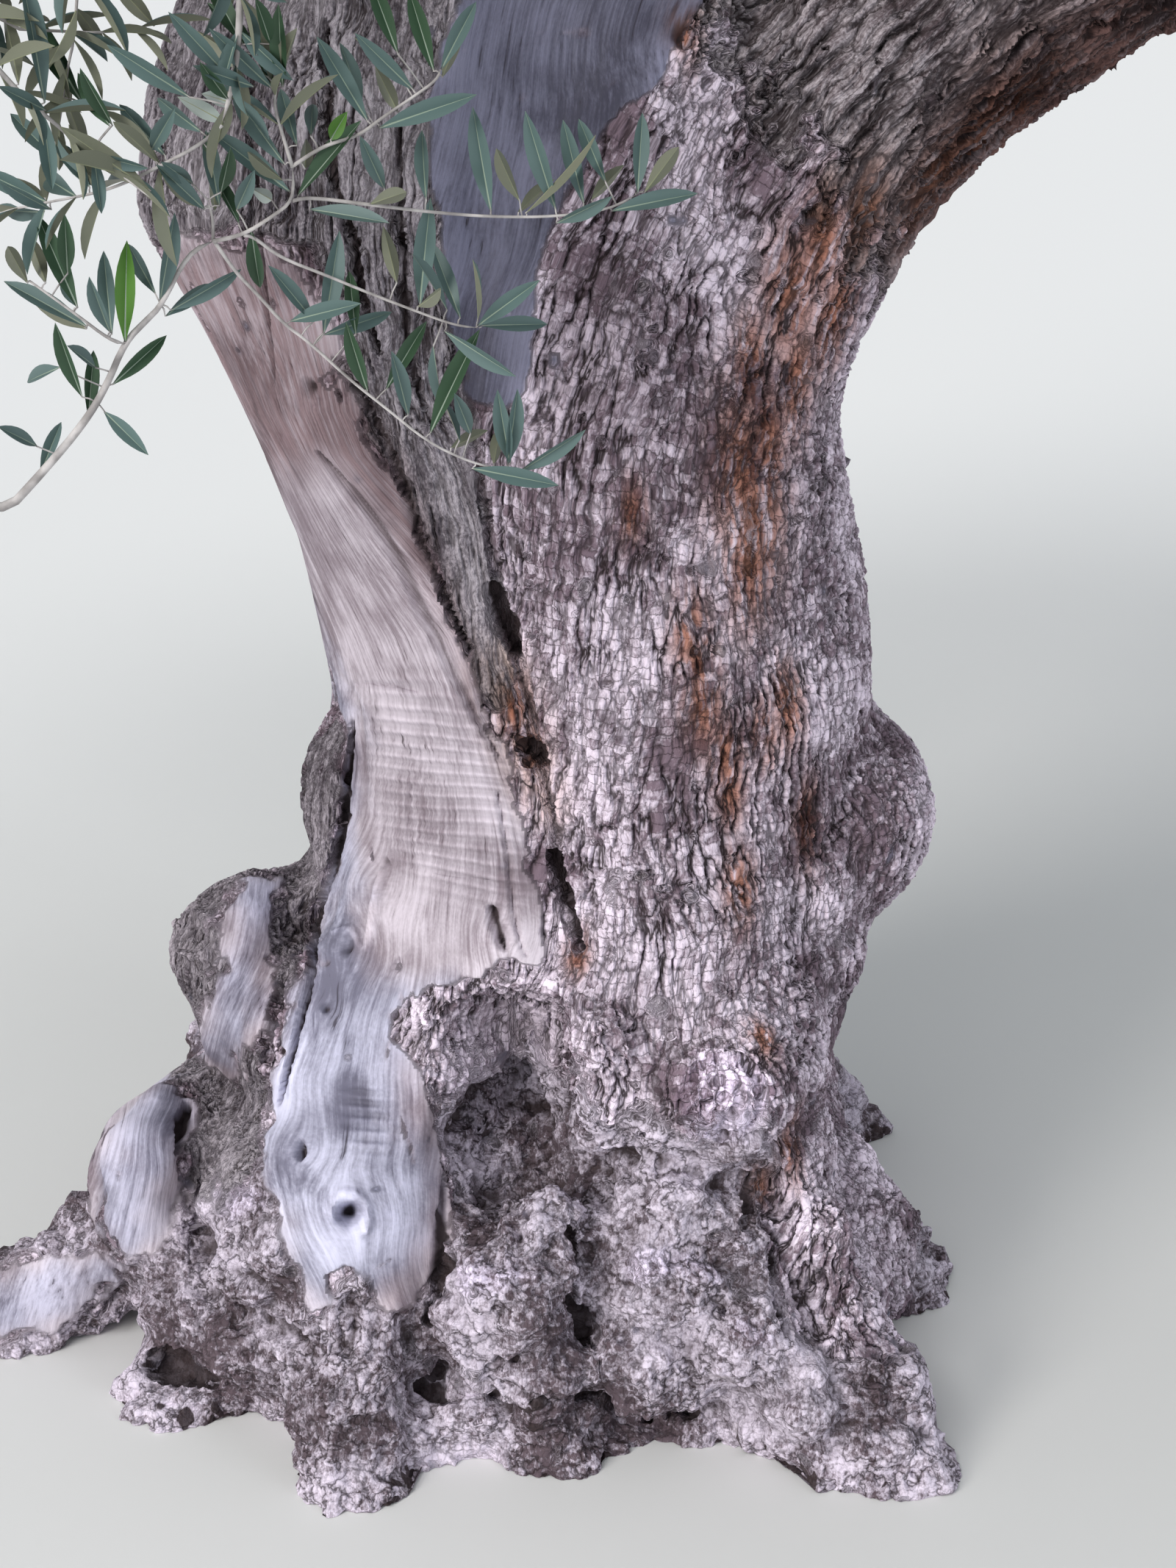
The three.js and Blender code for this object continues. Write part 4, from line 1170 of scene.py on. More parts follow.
patterns = {
    # size across and along the wood of the wandering fissures and of the cells between them, how deep both
    # are cut, in metres, how strong their dark is, how little the rungs across the cells show, and how narrow
    # the fissures are
    "plates": {"fissure": (0.0140, 0.0140, 0.070), "block": (0.0105, 0.0105, 0.036),
               "deep": 0.0052, "shallow": 0.0021, "dark": (1.0, 0.70), "rungless": 0.0, "narrow": 0.90},
    "shag": {"fissure": (0.0150, 0.0150, 0.105), "block": (0.0120, 0.0120, 0.055),
             "deep": 0.0100, "shallow": 0.0036, "dark": (1.0, 0.85), "rungless": 0.05, "narrow": 0.55},
    "knobby": {"fissure": (0.0200, 0.0200, 0.0180), "block": (0.0075, 0.0075, 0.0066),
               "deep": 0.0034, "shallow": 0.0017, "dark": (0.8, 0.22), "rungless": 1.0, "narrow": 1.0},
    "string": {"fissure": (0.0080, 0.0080, 0.170), "block": (0.0036, 0.0036, 0.080),
               "deep": 0.0046, "shallow": 0.0007, "dark": (0.9, 0.3), "rungless": 1.0, "narrow": 0.80},
    "rungLength": 0.0092,
    "rippleLength": 0.0092,
    "ripples": 0.0011,
    "flakes": {"size": (0.0036, 0.0036, 0.0062), "height": 0.0030, "jag": 0.006},
    "grain": {"size": (0.0030, 0.0030, 0.100), "height": 0.0012},
    "specks": (0.0015, 0.0015, 0.0034),
    "streaks": (0.0080, 0.0080, 0.070),
}


def barkPatterns(tree):
    # the height of the surface in metres, and the measures that its colours follow
    rest, fibres = kept(tree, "rest", True), kept(tree, "fibres", True)
    share = {name: kept(tree, name) for name in ("shag", "knobby", "string", "bare", "slick")}

    def valueOf(part, number=None):
        # one of the patterns' values, as it falls to each ground
        chosen = None
        for name in ("plates", "shag", "knobby", "string"):
            value = patterns[name][part] if number is None else patterns[name][part][number]
            if isinstance(value, tuple):
                value = tuple(1 / size for size in value)
                chosen = value if chosen is None else mixedVector(tree, share[name], chosen, value)
            else:
                chosen = value if chosen is None else mixed(tree, share[name], chosen, value)
        return chosen

    # the foot's rough bark has no grain, so its cells come from the place alone
    coords = mixedVector(tree, share["knobby"], fibres, rest)
    winding = noise(tree, vectorCalc(tree, "MULTIPLY", coords, valueOf("fissure")), 1.0, 3.0, 0.55).outputs[0]
    winding = calc(tree, "ABSOLUTE", calc(tree, "SUBTRACT", winding, 0.5))
    fissure = calc(tree, "MULTIPLY", winding, valueOf("narrow"))
    flakes = patterns["flakes"]
    flaky = noise(tree, vectorCalc(tree, "DIVIDE", coords, flakes["size"]), 1.0, 3.0, 0.6)
    jag = vectorCalc(tree, "SUBTRACT", flaky.outputs["Color"], (0.5, 0.5, 0.5))
    jagged = vectorCalc(tree, "ADD", coords, vectorCalc(tree, "MULTIPLY", jag, (flakes["jag"],) * 3))
    cells = vectorCalc(tree, "MULTIPLY", jagged, valueOf("block"))
    cell = cellTone(tree, cells, 0.75)
    flaky = flaky.outputs[0]
    # rungs across each upright cell, which meet no rung of the next one
    step = put(tree, "ShaderNodeSeparateXYZ", {0: jagged}).outputs[2]
    step = calc(tree, "MULTIPLY_ADD", step, 1 / patterns["rungLength"], calc(tree, "MULTIPLY", cell, 7.0))
    rung = calc(tree, "ABSOLUTE", calc(tree, "SUBTRACT", calc(tree, "FRACT", step), 0.5))
    rung = calc(tree, "ADD", calc(tree, "SUBTRACT", 0.5, rung), valueOf("rungless"))
    block = calc(tree, "MINIMUM", cellEdges(tree, cells, 0.75), rung)
    place = put(tree, "ShaderNodeCombineXYZ", {0: cell, 1: calc(tree, "FLOOR", step)}).outputs[0]
    strong = mixed(tree, kept(tree, "fading"), 0.45, 1.0)
    weak = mixed(tree, kept(tree, "fading"), 1.0, 0.50)
    fissureLine = calc(tree, "MULTIPLY", ramp(tree, fissure, 0.006, 0.032, 1.0, 0.0),
                       calc(tree, "MULTIPLY", strong, valueOf("dark", 0)))
    blockLine = calc(tree, "MULTIPLY", ramp(tree, block, 0.01, 0.075, 1.0, 0.0),
                     calc(tree, "MULTIPLY", weak, valueOf("dark", 1)))
    fissureCut = calc(tree, "MULTIPLY", ramp(tree, fissure, 0.0, 0.085, 1.0, 0.0),
                      calc(tree, "MULTIPLY", valueOf("deep"), strong))
    blockCut = calc(tree, "MULTIPLY", ramp(tree, block, 0.0, 0.22, 1.0, 0.0), valueOf("shallow"))
    flaked = calc(tree, "MULTIPLY_ADD", flaky, flakes["height"], -flakes["height"] / 2)
    fissured = calc(tree, "SUBTRACT", flaked, fissureCut)
    blocked = calc(tree, "SUBTRACT", fissured, blockCut)

    # bare wood: fine grain, ripples across it and thin checks along it
    along = put(tree, "ShaderNodeSeparateXYZ", {0: fibres}).outputs[2]
    turns = calc(tree, "MULTIPLY", along, 2 * math.pi / patterns["rippleLength"])
    ripples = calc(tree, "MULTIPLY", calc(tree, "SINE", turns), kept(tree, "ripple"))
    grain = patterns["grain"]
    grainLines = noise(tree, vectorCalc(tree, "DIVIDE", fibres, grain["size"]), 1.0, 3.0, 0.62).outputs[0]
    wood = calc(tree, "ADD", calc(tree, "MULTIPLY_ADD", grainLines, grain["height"], -grain["height"] / 2),
                calc(tree, "MULTIPLY", ripples, patterns["ripples"]))
    checks = calc(tree, "MULTIPLY", ramp(tree, grainLines, 0.25, 0.36, 1.0, 0.0), 0.7)

    smooth = calc(tree, "MAXIMUM", share["bare"], share["slick"])
    cracks = mixed(tree, smooth, calc(tree, "MAXIMUM", fissureLine, blockLine), checks)
    girth = kept(tree, "girth")

    def raised(bark):
        bark = calc(tree, "MULTIPLY", bark, mixed(tree, share["knobby"], 1.0, 0.6))
        return calc(tree, "MULTIPLY", mixed(tree, smooth, bark, wood), girth)

    return {
        "height": raised(blocked), "fineHeight": raised(fissured), "cracks": cracks, "share": share,
        "fibres": fibres, "ripples": ripples, "smooth": smooth, "grainLines": grainLines, "flaky": flaky,
        "fissure": fissure, "block": block,
        "blocks": put(tree, "ShaderNodeTexWhiteNoise", {"Vector": place}).outputs[0],
    }


def reliefNodes():
    tree = bpy.data.node_groups.new("bark relief", "GeometryNodeTree")
    tree.interface.new_socket("Geometry", in_out="INPUT", socket_type="NodeSocketGeometry")
    tree.interface.new_socket("Geometry", in_out="OUTPUT", socket_type="NodeSocketGeometry")
    start = put(tree, "NodeGroupInput").outputs[0]
    height = barkPatterns(tree)["height"]
    outward = {0: kept(tree, "outward", True), "Scale": height}
    offset = put(tree, "ShaderNodeVectorMath", outward, operation="SCALE").outputs[0]
    moved = put(tree, "GeometryNodeSetPosition", {"Geometry": start, "Offset": offset}).outputs[0]
    put(tree, "NodeGroupOutput", {0: moved})
    return tree


def raiseBark(piece, nodes):
    relief = piece.modifiers.new("bark relief", "NODES")
    relief.node_group = nodes
    applyModifiers(piece)
    places = getPlaces(piece)
    places[:, 2] = np.maximum(places[:, 2], 0)
    setPlaces(piece, places)
    piece.data.attributes.remove(piece.data.attributes["outward"])


# Colours of the bark and the wood

barkTones = {
    # darker and lighter tone of each ground, as they look in soft light
    "plates": ((119, 102, 113), (230, 216, 231)),
    "shag": ((84, 72, 76), (194, 184, 190)),
    "knobby": ((82, 70, 76), (198, 188, 202)),
    "string": ((84, 77, 84), (181, 173, 181)),
    "bare": ((133, 120, 128), (215, 205, 215)),
    "slick": ((71, 70, 86), (128, 128, 150)),
    "silver": ((112, 110, 127), (212, 211, 232)),
    "crack": (38, 28, 29),
    # the painted shade of the hollows
    "deep": (58, 47, 48),
}

# what a stain makes of the tone below it; shade is painted shade, and brown and rust also hold the painted
# shade of the shaggy bark's undersides
stains = {
    "rust": (0.50, 0.26, 0.16),
    "warm": (0.96, 0.80, 0.66),
    "brown": (0.44, 0.35, 0.34),
    "pale": (1.30, 1.29, 1.36),
    "shade": (0.60, 0.57, 0.58),
}


# stains that follow the streaks: low and high end of their ramp, and the least share that they keep
streakyStains = [("warm", 0.3, 0.6, 0.1), ("brown", 0.35, 0.6, 0.55), ("rust", 0.36, 0.54, 0.20)]


def fromTone(tone):
    # a tone of 0 to 255 in each of three parts, as the linear colour that nodes take
    return (*[((part / 255 + 0.055) / 1.055) ** 2.4 for part in tone], 1.0)


def barkGroup():
    tree = bpy.data.node_groups.new("weathered wood", "ShaderNodeTree")
    tree.interface.new_socket("Lightness", in_out="INPUT", socket_type="NodeSocketFloat")
    tree.interface.new_socket("Color", in_out="OUTPUT", socket_type="NodeSocketColor")
    tree.interface.new_socket("Roughness", in_out="OUTPUT", socket_type="NodeSocketFloat")
    tree.interface.new_socket("Height", in_out="OUTPUT", socket_type="NodeSocketFloat")
    lightness = put(tree, "NodeGroupInput").outputs[0]
    found = barkPatterns(tree)
    share, fibres, patches = found["share"], found["fibres"], kept(tree, "patches")
    specks = noise(tree, vectorCalc(tree, "DIVIDE", fibres, patterns["specks"]), 1.0, 2.0, 0.6).outputs[0]
    streaks = noise(tree, vectorCalc(tree, "DIVIDE", fibres, patterns["streaks"]), 1.0, 3.0, 0.6).outputs[0]

    def weighed(*parts):
        # noises round a half, each with its weight
        total = 0.5
        for value, weight in parts:
            total = calc(tree, "ADD", calc(tree, "MULTIPLY_ADD", value, weight, -weight / 2), total)
        return total

    flaky = found["flaky"]
    blocky = weighed((found["blocks"], 0.40), (flaky, 1.0), (patches, 0.8), (specks, 0.7), (streaks, 0.7))
    blocky = ramp(tree, blocky, 0.10, 0.90)
    fibrous = weighed((streaks, 1.2), (patches, 0.4), (specks, 0.9), (flaky, 0.5))
    fibrous = ramp(tree, fibrous, 0.12, 0.88)
    silky = weighed((streaks, 0.35), (patches, 0.6), (found["grainLines"], 1.0), (specks, 0.3))
    silky = ramp(tree, silky, 0.1, 0.9)

    def between(name, amount):
        dark, light = barkTones[name]
        return mixedColour(tree, amount, fromTone(dark), fromTone(light))

    def stained(colour, name, amount):
        return mixedColour(tree, amount, colour, (*stains[name], 1.0), "MULTIPLY")

    colour = between("plates", blocky)
    for name, amount in (("shag", fibrous), ("knobby", blocky), ("string", fibrous), ("bare", silky)):
        colour = mixedColour(tree, share[name], colour, between(name, amount))
    silver = calc(tree, "MULTIPLY", kept(tree, "silver"), share["bare"])
    colour = mixedColour(tree, silver, colour, between("silver", silky))
    colour = mixedColour(tree, share["slick"], colour, between("slick", silky))
    colour = stained(colour, "pale", kept(tree, "pale"))
    for name, *streaky in streakyStains:
        streaky = ramp(tree, streaks, *streaky, 1.0)
        colour = stained(colour, name, calc(tree, "MULTIPLY", kept(tree, name), streaky))
    colour = stained(colour, "shade", kept(tree, "shade"))
    # painted shade and light: the valleys of the relief and one side of each ripple are painted darker, and
    # its tops and the middles of its cells lighter
    paintedShadeAndLight = calc(tree, "MULTIPLY", ramp(tree, found["fissure"], 0.0, 0.07, 0.76, 1.05),
                  ramp(tree, found["block"], 0.0, 0.16, 0.86, 1.04))
    paintedShadeAndLight = mixed(tree, found["smooth"], paintedShadeAndLight, calc(tree, "MULTIPLY_ADD", found["ripples"], 0.13, 1.0))
    # painted highlight where the skin stands above its smoothed shape
    paintedRidgeLight = ramp(tree, kept(tree, "cavity"), -0.0050, -0.0005, 1.22, 1.0)
    paintedShadeAndLight = calc(tree, "MULTIPLY", calc(tree, "MULTIPLY", paintedShadeAndLight, paintedRidgeLight), lightness)
    paintedShadeAndLight = put(tree, "ShaderNodeCombineXYZ", {0: paintedShadeAndLight, 1: paintedShadeAndLight, 2: paintedShadeAndLight}).outputs[0]
    colour = mixedColour(tree, 1.0, colour, paintedShadeAndLight, "MULTIPLY")
    # painted shade in the hollows: the deeper below the smoothed skin, the nearer to the deep tone
    hollow = ramp(tree, kept(tree, "cavity"), 0.0012, 0.0105, 0.0, 0.92)
    colour = mixedColour(tree, hollow, colour, fromTone(barkTones["deep"]))
    cracked = calc(tree, "MULTIPLY", found["cracks"], 0.92)
    colour = mixedColour(tree, cracked, colour, fromTone(barkTones["crack"]))
    roughness = mixed(tree, share["slick"], 0.9, ramp(tree, streaks, 0.3, 0.7, 0.5, 0.72))
    put(tree, "NodeGroupOutput", {"Color": colour, "Roughness": roughness, "Height": found["fineHeight"]})
    return tree


def newMaterial(name, roughness, specular=0.5):
    material = bpy.data.materials.new(name)
    material.use_nodes = True
    shader = material.node_tree.nodes["Principled BSDF"]
    shader.inputs["Roughness"].default_value = roughness
    shader.inputs["Specular IOR Level"].default_value = specular
    return material, material.node_tree, shader


def barkMaterial(name, lightness, group):
    material, tree, shader = newMaterial(name, 0.9, 0.25)
    wood = put(tree, "ShaderNodeGroup", node_tree=group)
    wood.inputs["Lightness"].default_value = lightness
    bump = put(tree, "ShaderNodeBump", {"Strength": 0.7, "Distance": 1.0, "Height": wood.outputs["Height"]})
    tree.links.new(wood.outputs["Color"], shader.inputs["Base Color"])
    tree.links.new(wood.outputs["Roughness"], shader.inputs["Roughness"])
    tree.links.new(bump.outputs[0], shader.inputs["Normal"])
    return material


# The skin in pieces, each cut flat where it meets the next

cuts = {
    "heights": [0.155, 0.33, 0.54, 0.80, 1.05, 1.32],
    "names": ["foot", "burls", "low_waist", "waist", "high_waist", "fork", "limbs"],
    "most": 190000,  # triangles in a piece
    "sharp": 65,  # degrees past which an edge isn't smoothed over
}


def halved(piece, place, way, keepAbove):
    makeActive(piece)
    bpy.ops.object.mode_set(mode="EDIT")
    bpy.ops.mesh.select_all(action="SELECT")
    bpy.ops.mesh.bisect(plane_co=place, plane_no=way, use_fill=True,
                        clear_inner=keepAbove, clear_outer=not keepAbove)
    bpy.ops.mesh.select_all(action="DESELECT")
    bpy.ops.mesh.select_face_by_sides(number=12, type="GREATER")
    bpy.ops.mesh.poke()  # the flat end, as a fan
    bpy.ops.object.mode_set(mode="OBJECT")
    return piece


def copied(piece, name):
    twin = piece.copy()
    twin.data = piece.data.copy()
    twin.name = name
    bpy.context.collection.objects.link(twin)
    return twin


def triangleCount(piece):
    piece.data.calc_loop_triangles()
    return len(piece.data.loop_triangles)


def cutSkin(whole):
    # bands from the ground up, and each that has too many triangles halved again across its width
    bands, rest = [], whole
    for name, height in zip(cuts["names"], cuts["heights"]):
        band = halved(copied(rest, "bark_" + name), (0, 0, height), (0, 0, 1), False)
        halved(rest, (0, 0, height), (0, 0, 1), True)
        bands.append(band)
    rest.name = "bark_" + cuts["names"][-1]
    pieces = []
    for band in [*bands, rest]:
        if triangleCount(band) < cuts["most"]:
            pieces.append(band)
            continue
        middle = float(np.median(getPlaces(band)[:, 0]))
        right = halved(copied(band, band.name + "_right"), (middle, 0, 0), (1, 0, 0), True)
        band.name += "_left"
        pieces += [halved(band, (middle, 0, 0), (1, 0, 0), False), right]
    return pieces


def finishSkin(whole):
    group = barkGroup()
    nodes = reliefNodes()
    trunkMaterial = barkMaterial("trunk bark", 1.0, group)
    limbMaterial = barkMaterial("bough bark", 0.92, group)
    limbNames = [name for name, *rest in limbs["list"]]
    for piece in cutSkin(whole):
        raiseBark(piece, nodes)
        isLimbs = piece.name.startswith("bark_limbs")
        piece.data.materials.clear()
        piece.data.materials.append(limbMaterial if isLimbs else trunkMaterial)
        makeActive(piece)
        bpy.ops.object.shade_smooth_by_angle(angle=math.radians(cuts["sharp"]))
        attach(piece, "root")
        if isLimbs:
            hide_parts(*limbNames)
        else:
            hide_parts("trunk")
        print(piece.name, triangleCount(piece), "triangles")


# The crown: twigs that fork towards places spread through each mass, and leafy shoots on the last of them

growth = {
    "sprays": 50,  # to each mass, as in the CAD model
    "spraysPerTwig": 3,
    "way": 0.5,
    "lastWay": 0.62,
    "stem": 0.090,
    "twigRadius": 0.0055,
    "depth": {"most": 0.76, "few": 0.42, "every": 4},
    "shake": 0.16,
    "extra": 3,
    "margin": 0.006,
    "shakeSeed": {"eachMass": 97, "first": 11},
    "stream": {"times": 1664525, "plus": 1013904223, "range": 2 ** 32},
}

shoots = {
    "length": 0.300,
    "sideCount": 7,
    "sideLength": (0.090, 0.170),
    "radius": 0.0021,
    "sideRadius": 0.0021 * 0.7,
    "tipRadius": 0.0007,
    "droop": 0.16,
    "bends": 3,
}

leafSizes = {
    "length": (0.048, 0.070),
    "width": 0.235,  # share of the length
    "gap": 0.0215,  # between one pair and the next
    "angle": (62, 34),  # degrees from the shoot, at its foot and at its tip
}

leafTones = {
    # name: tone above, tone below, and how many of ten sprays have it
    "leaf deep": ((78, 96, 78), (150, 158, 138), 3),
    "leaf grey": ((98, 114, 98), (166, 172, 154), 4),
    "leaf fresh": ((104, 128, 78), (160, 168, 130), 2),
    "leaf khaki": ((128, 132, 92), (172, 170, 134), 1),
}


def numberStream(massNumber, seed):
    state = massNumber * seed["eachMass"] + seed["first"]
    stream = growth["stream"]
    while True:
        state = (state * stream["times"] + stream["plus"]) % stream["range"]
        yield state / stream["range"]


def spaceOf(name):
    centre, reach = massCentre(name), np.array(masses[name][3])
    walls = []
    for other in masses:
        if other == name:
            continue
        away = massCentre(other) - centre
        distance = np.linalg.norm(away)
        share = (distance ** 2 + reach.mean() ** 2 - np.mean(masses[other][3]) ** 2) / (2 * distance)
        walls.append((away / distance, share - growth["margin"]))

    def holds(places):
        offset = places - centre
        inside = np.linalg.norm(offset / reach, axis=-1) <= 1
        for normal, limit in walls:
            inside &= offset @ normal <= limit
        return inside

    return centre, reach, holds


def targetsOf(name, centre, reach, holds):
    massNumber = list(masses).index(name)
    goldenTurn = math.pi * (3 - math.sqrt(5))
    depth, wanted = growth["depth"], growth["sprays"]
    found, count = [], wanted
    while len(found) < wanted:
        random = numberStream(massNumber, growth["shakeSeed"])
        places = []
        for number in range(count):
            level = 1 - 2 * (number + 0.5) / count
            turn = number * goldenTurn
            deep = depth["few"] if number % depth["every"] == depth["every"] - 1 else depth["most"]
            flat = math.sqrt(1 - level * level)
            way = np.array([flat * math.cos(turn), flat * math.sin(turn), level]) * deep
            shake = np.array([next(random) - 0.5 for axis in range(3)]) * growth["shake"]
            places.append(centre + reach * (way + shake))
        found = [place for place in places if holds(place)]
        count += growth["extra"]
    return found


def splitWide(places):
    spread = np.ptp(np.array(places), axis=0)
    axis = int(spread.argmax())
    ordered = sorted(places, key=lambda place: place[axis])
    half = math.ceil(len(ordered) / 2)
    return ordered[:half], ordered[half:]


def anySide(way):
    return unit(np.cross(way, [0, 0, 1] if abs(way[2]) < 0.9 else [1, 0, 0]))


class Bundle:
    # points and faces of many like things, joined into one mesh at the end

    def __init__(self):
        self.points, self.faces, self.tones, self.count = [], [], [], 0

    def add(self, points, faces, tone=0):
        self.points.append(points)
        self.faces += [[corner + self.count for corner in face] for face in faces]
        self.tones += tone if isinstance(tone, list) else [tone] * len(faces)
        self.count += len(points)

    def make(self, name, materials):
        mesh = bpy.data.meshes.new(name)
        mesh.from_pydata(np.concatenate(self.points), [], self.faces)
        for material in materials:
            mesh.materials.append(material)
        mesh.polygons.foreach_set("material_index", self.tones)
        mesh.polygons.foreach_set("use_smooth", [True] * len(self.faces))
        mesh.update()
        piece = bpy.data.objects.new(name, mesh)
        bpy.context.collection.objects.link(piece)
        return piece


def twigShape(path, radii, sides):
    # a closed tube round a path, that ends in a point
    path = np.array(path)
    frames, besides = framesAlong(path, anySide(path[1] - path[0]))
    turns = np.arange(sides) * 2 * math.pi / sides
    rings = [
        place + radius * (np.cos(turns)[:, None] * side + np.sin(turns)[:, None] * beside)
        for place, radius, side, beside in zip(path[:-1], radii, frames, besides)
    ]
    points = np.concatenate([*rings, path[-1:]])
    faces = [list(range(sides))[::-1]]
    for ring in range(len(rings) - 1):
        for side in range(sides):
            one, other = ring * sides + side, ring * sides + (side + 1) % sides
            faces.append([one, other, other + sides, one + sides])
    last = (len(rings) - 1) * sides
    faces += [[last + side, last + (side + 1) % sides, len(points) - 1] for side in range(sides)]
    return points, faces


def bentPath(start, way, length, droop, bends):
    share = np.linspace(0, 1, bends + 1)[:, None]
    return start + way * length * share - np.array([0, 0, droop * length]) * share ** 2


def modelLeaf():
    # one blade, a metre long and wide before it is sized: three cells along, folded along its midrib
    clearSelection()
    bpy.ops.mesh.primitive_grid_add(x_subdivisions=3, y_subdivisions=2, size=1, location=(0.5, 0, 0))
    leaf = bpy.context.object
    leaf.name = "leafModel"
    bpy.ops.object.transform_apply(location=True, rotation=True, scale=True)
    for end in (0, 1):
        choose(leaf.data.vertices, np.abs(getPlaces(leaf)[:, 0] - end) < 0.01, "VERT")
        bpy.ops.mesh.merge(type="CENTER")
        bpy.ops.object.mode_set(mode="OBJECT")
    places = getPlaces(leaf)
    along, across = places[:, 0].copy(), places[:, 1].copy()
    places[:, 0] = np.interp(along, [0, 1 / 3, 2 / 3, 1], [0, 0.30, 0.68, 1])
    places[:, 1] = across * np.interp(along, [0, 1 / 3, 2 / 3, 1], [0, 0.92, 1, 0])
    places[:, 2] = np.abs(across) * 0.10 - 0.05 * along ** 2
    faces = [list(face.vertices) for face in leaf.data.polygons]
    bpy.data.objects.remove(leaf)
    return places, faces


def leavesOn(path, holds, random, bundle, leaf, tone):
    shape, faces = leaf
    far = lengthsAlong(path)
    gap, count = leafSizes["gap"], int(far[-1] / leafSizes["gap"])
    way = unit(path[-1] - path[0])
    side = anySide(way)
    beside = np.cross(way, side)
    for pair in range(1, count + 1):
        share = pair / count
        place = np.array([np.interp(pair * gap, far, path[:, axis]) for axis in range(3)])
        lean = math.radians(np.interp(share, [0, 1], leafSizes["angle"]))
        turn = pair * math.pi / 2 + random.uniform(-0.5, 0.5)
        for half in (0, math.pi):
            out = math.cos(turn + half) * side + math.sin(turn + half) * beside
            leafWay = unit(math.cos(lean) * way + math.sin(lean) * out + random.normal(0, 0.12, 3))
            length = random.uniform(*leafSizes["length"]) * (1 - 0.35 * share ** 3)
            if not holds(place + leafWay * length):
                continue
            up = np.array([0, 0, 1.0]) + way * 0.5 + random.normal(0, 0.35, 3)
            up = unit(up - leafWay * (up @ leafWay))
            wide = np.cross(up, leafWay) * leafSizes["width"]
            points = place + length * (shape[:, :1] * leafWay + shape[:, 1:2] * wide + shape[:, 2:] * up)
            bundle.add(points, faces, tone)
    tipWay = unit(path[-1] - path[-2])
    if holds(path[-1] + tipWay * 0.05):
        up = unit(np.array([0, 0, 1.0]) - tipWay * tipWay[2] + 1e-6)
        wide = np.cross(up, tipWay) * leafSizes["width"]
        points = path[-1] + 0.05 * (shape[:, :1] * tipWay + shape[:, 1:2] * wide + shape[:, 2:] * up)
        bundle.add(points, faces, tone)


def growSpray(start, target, holds, random, twigs, leaves, leaf):
    way = unit(target - start)
    tone = int(random.choice(len(leafTones), p=[tone[2] / 10 for tone in leafTones.values()]))
    main = bentPath(start, way, shoots["length"], shoots["droop"] * 0.5, shoots["bends"])
    paths = [main]
    side = anySide(way)
    beside = np.cross(way, side)
    for number in range(shoots["sideCount"]):
        share = (number + 0.6) / (shoots["sideCount"] + 0.8)
        turn = number * 2.4 + random.uniform(-0.4, 0.4)
        out = math.cos(turn) * side + math.sin(turn) * beside
        lean = random.uniform(0.75, 1.15)
        foot = pointAt(main, share)
        length = random.uniform(*shoots["sideLength"]) * (1.1 - 0.5 * share)
        sideWay = unit(way * math.cos(lean) + out * math.sin(lean) + np.array([0, 0, 0.15]))
        paths.append(bentPath(foot, sideWay, length, shoots["droop"], shoots["bends"]))
    for path in paths:
        if not holds(path[-1]):
            continue
        radius = shoots["radius"] if path is main else shoots["sideRadius"]
        radii = np.linspace(radius, shoots["tipRadius"], shoots["bends"])
        twigs.add(*twigShape(path, radii, 3))
        leavesOn(path, holds, random, leaves, leaf, tone)


def growMass(name, shaped, leaf):
    centre, reach, holds = spaceOf(name)
    random = np.random.default_rng(growth["shakeSeed"]["first"] + list(masses).index(name))
    bough = shaped[next(limb for limb in shaped if limb.replace("_bough", "") == name)]
    tip, leave = bough["path"][-1], wayAt(bough["path"], 1)
    twigs, leaves = Bundle(), Bundle()
    targets = targetsOf(name, centre, reach, holds)

    def radiusOf(count):
        return growth["twigRadius"] * math.sqrt(max(1, count / growth["spraysPerTwig"]))

    def grow(start, startWay, radius, groups):
        for group in groups:
            aim = np.mean(group, axis=0)
            few = len(group) <= growth["spraysPerTwig"]
            end = start + (aim - start) * (growth["lastWay"] if few else growth["way"])
            length = np.linalg.norm(end - start)
            corners = [start, start + startWay * length * 0.3, end - unit(aim - start) * length * 0.35, end]
            path = bezierPath(corners, 5)
            endRadius = radiusOf(len(group))
            radii = np.linspace(min(radius, endRadius * 1.25), endRadius * 0.8, 5)
            path = np.vstack([path, path[-1] + unit(path[-1] - path[-2]) * endRadius])
            twigs.add(*twigShape(path, radii, 5))
            endWay = unit(path[-2] - path[-3])
            if few:
                for target in group:
                    growSpray(end, target, holds, random, twigs, leaves, leaf)
            else:
                grow(end, endWay, endRadius, splitWide(group))

    fork = tip + leave * growth["stem"]
    stemRadius = radiusOf(len(targets))
    stemPath = np.array([tip - leave * 0.02, tip + leave * 0.02, fork, fork + leave * stemRadius])
    twigs.add(*twigShape(stemPath, [bough["tip"] * 0.9, bough["tip"] * 0.85, stemRadius], 6))
    grow(fork, leave, stemRadius, splitWide(targets))
    return twigs, leaves


# The leafy twigs in front of the trunk, which hang from the thin bough. Their ways across the photo, and the
# feet and tips of their leaves, are in its pixels.

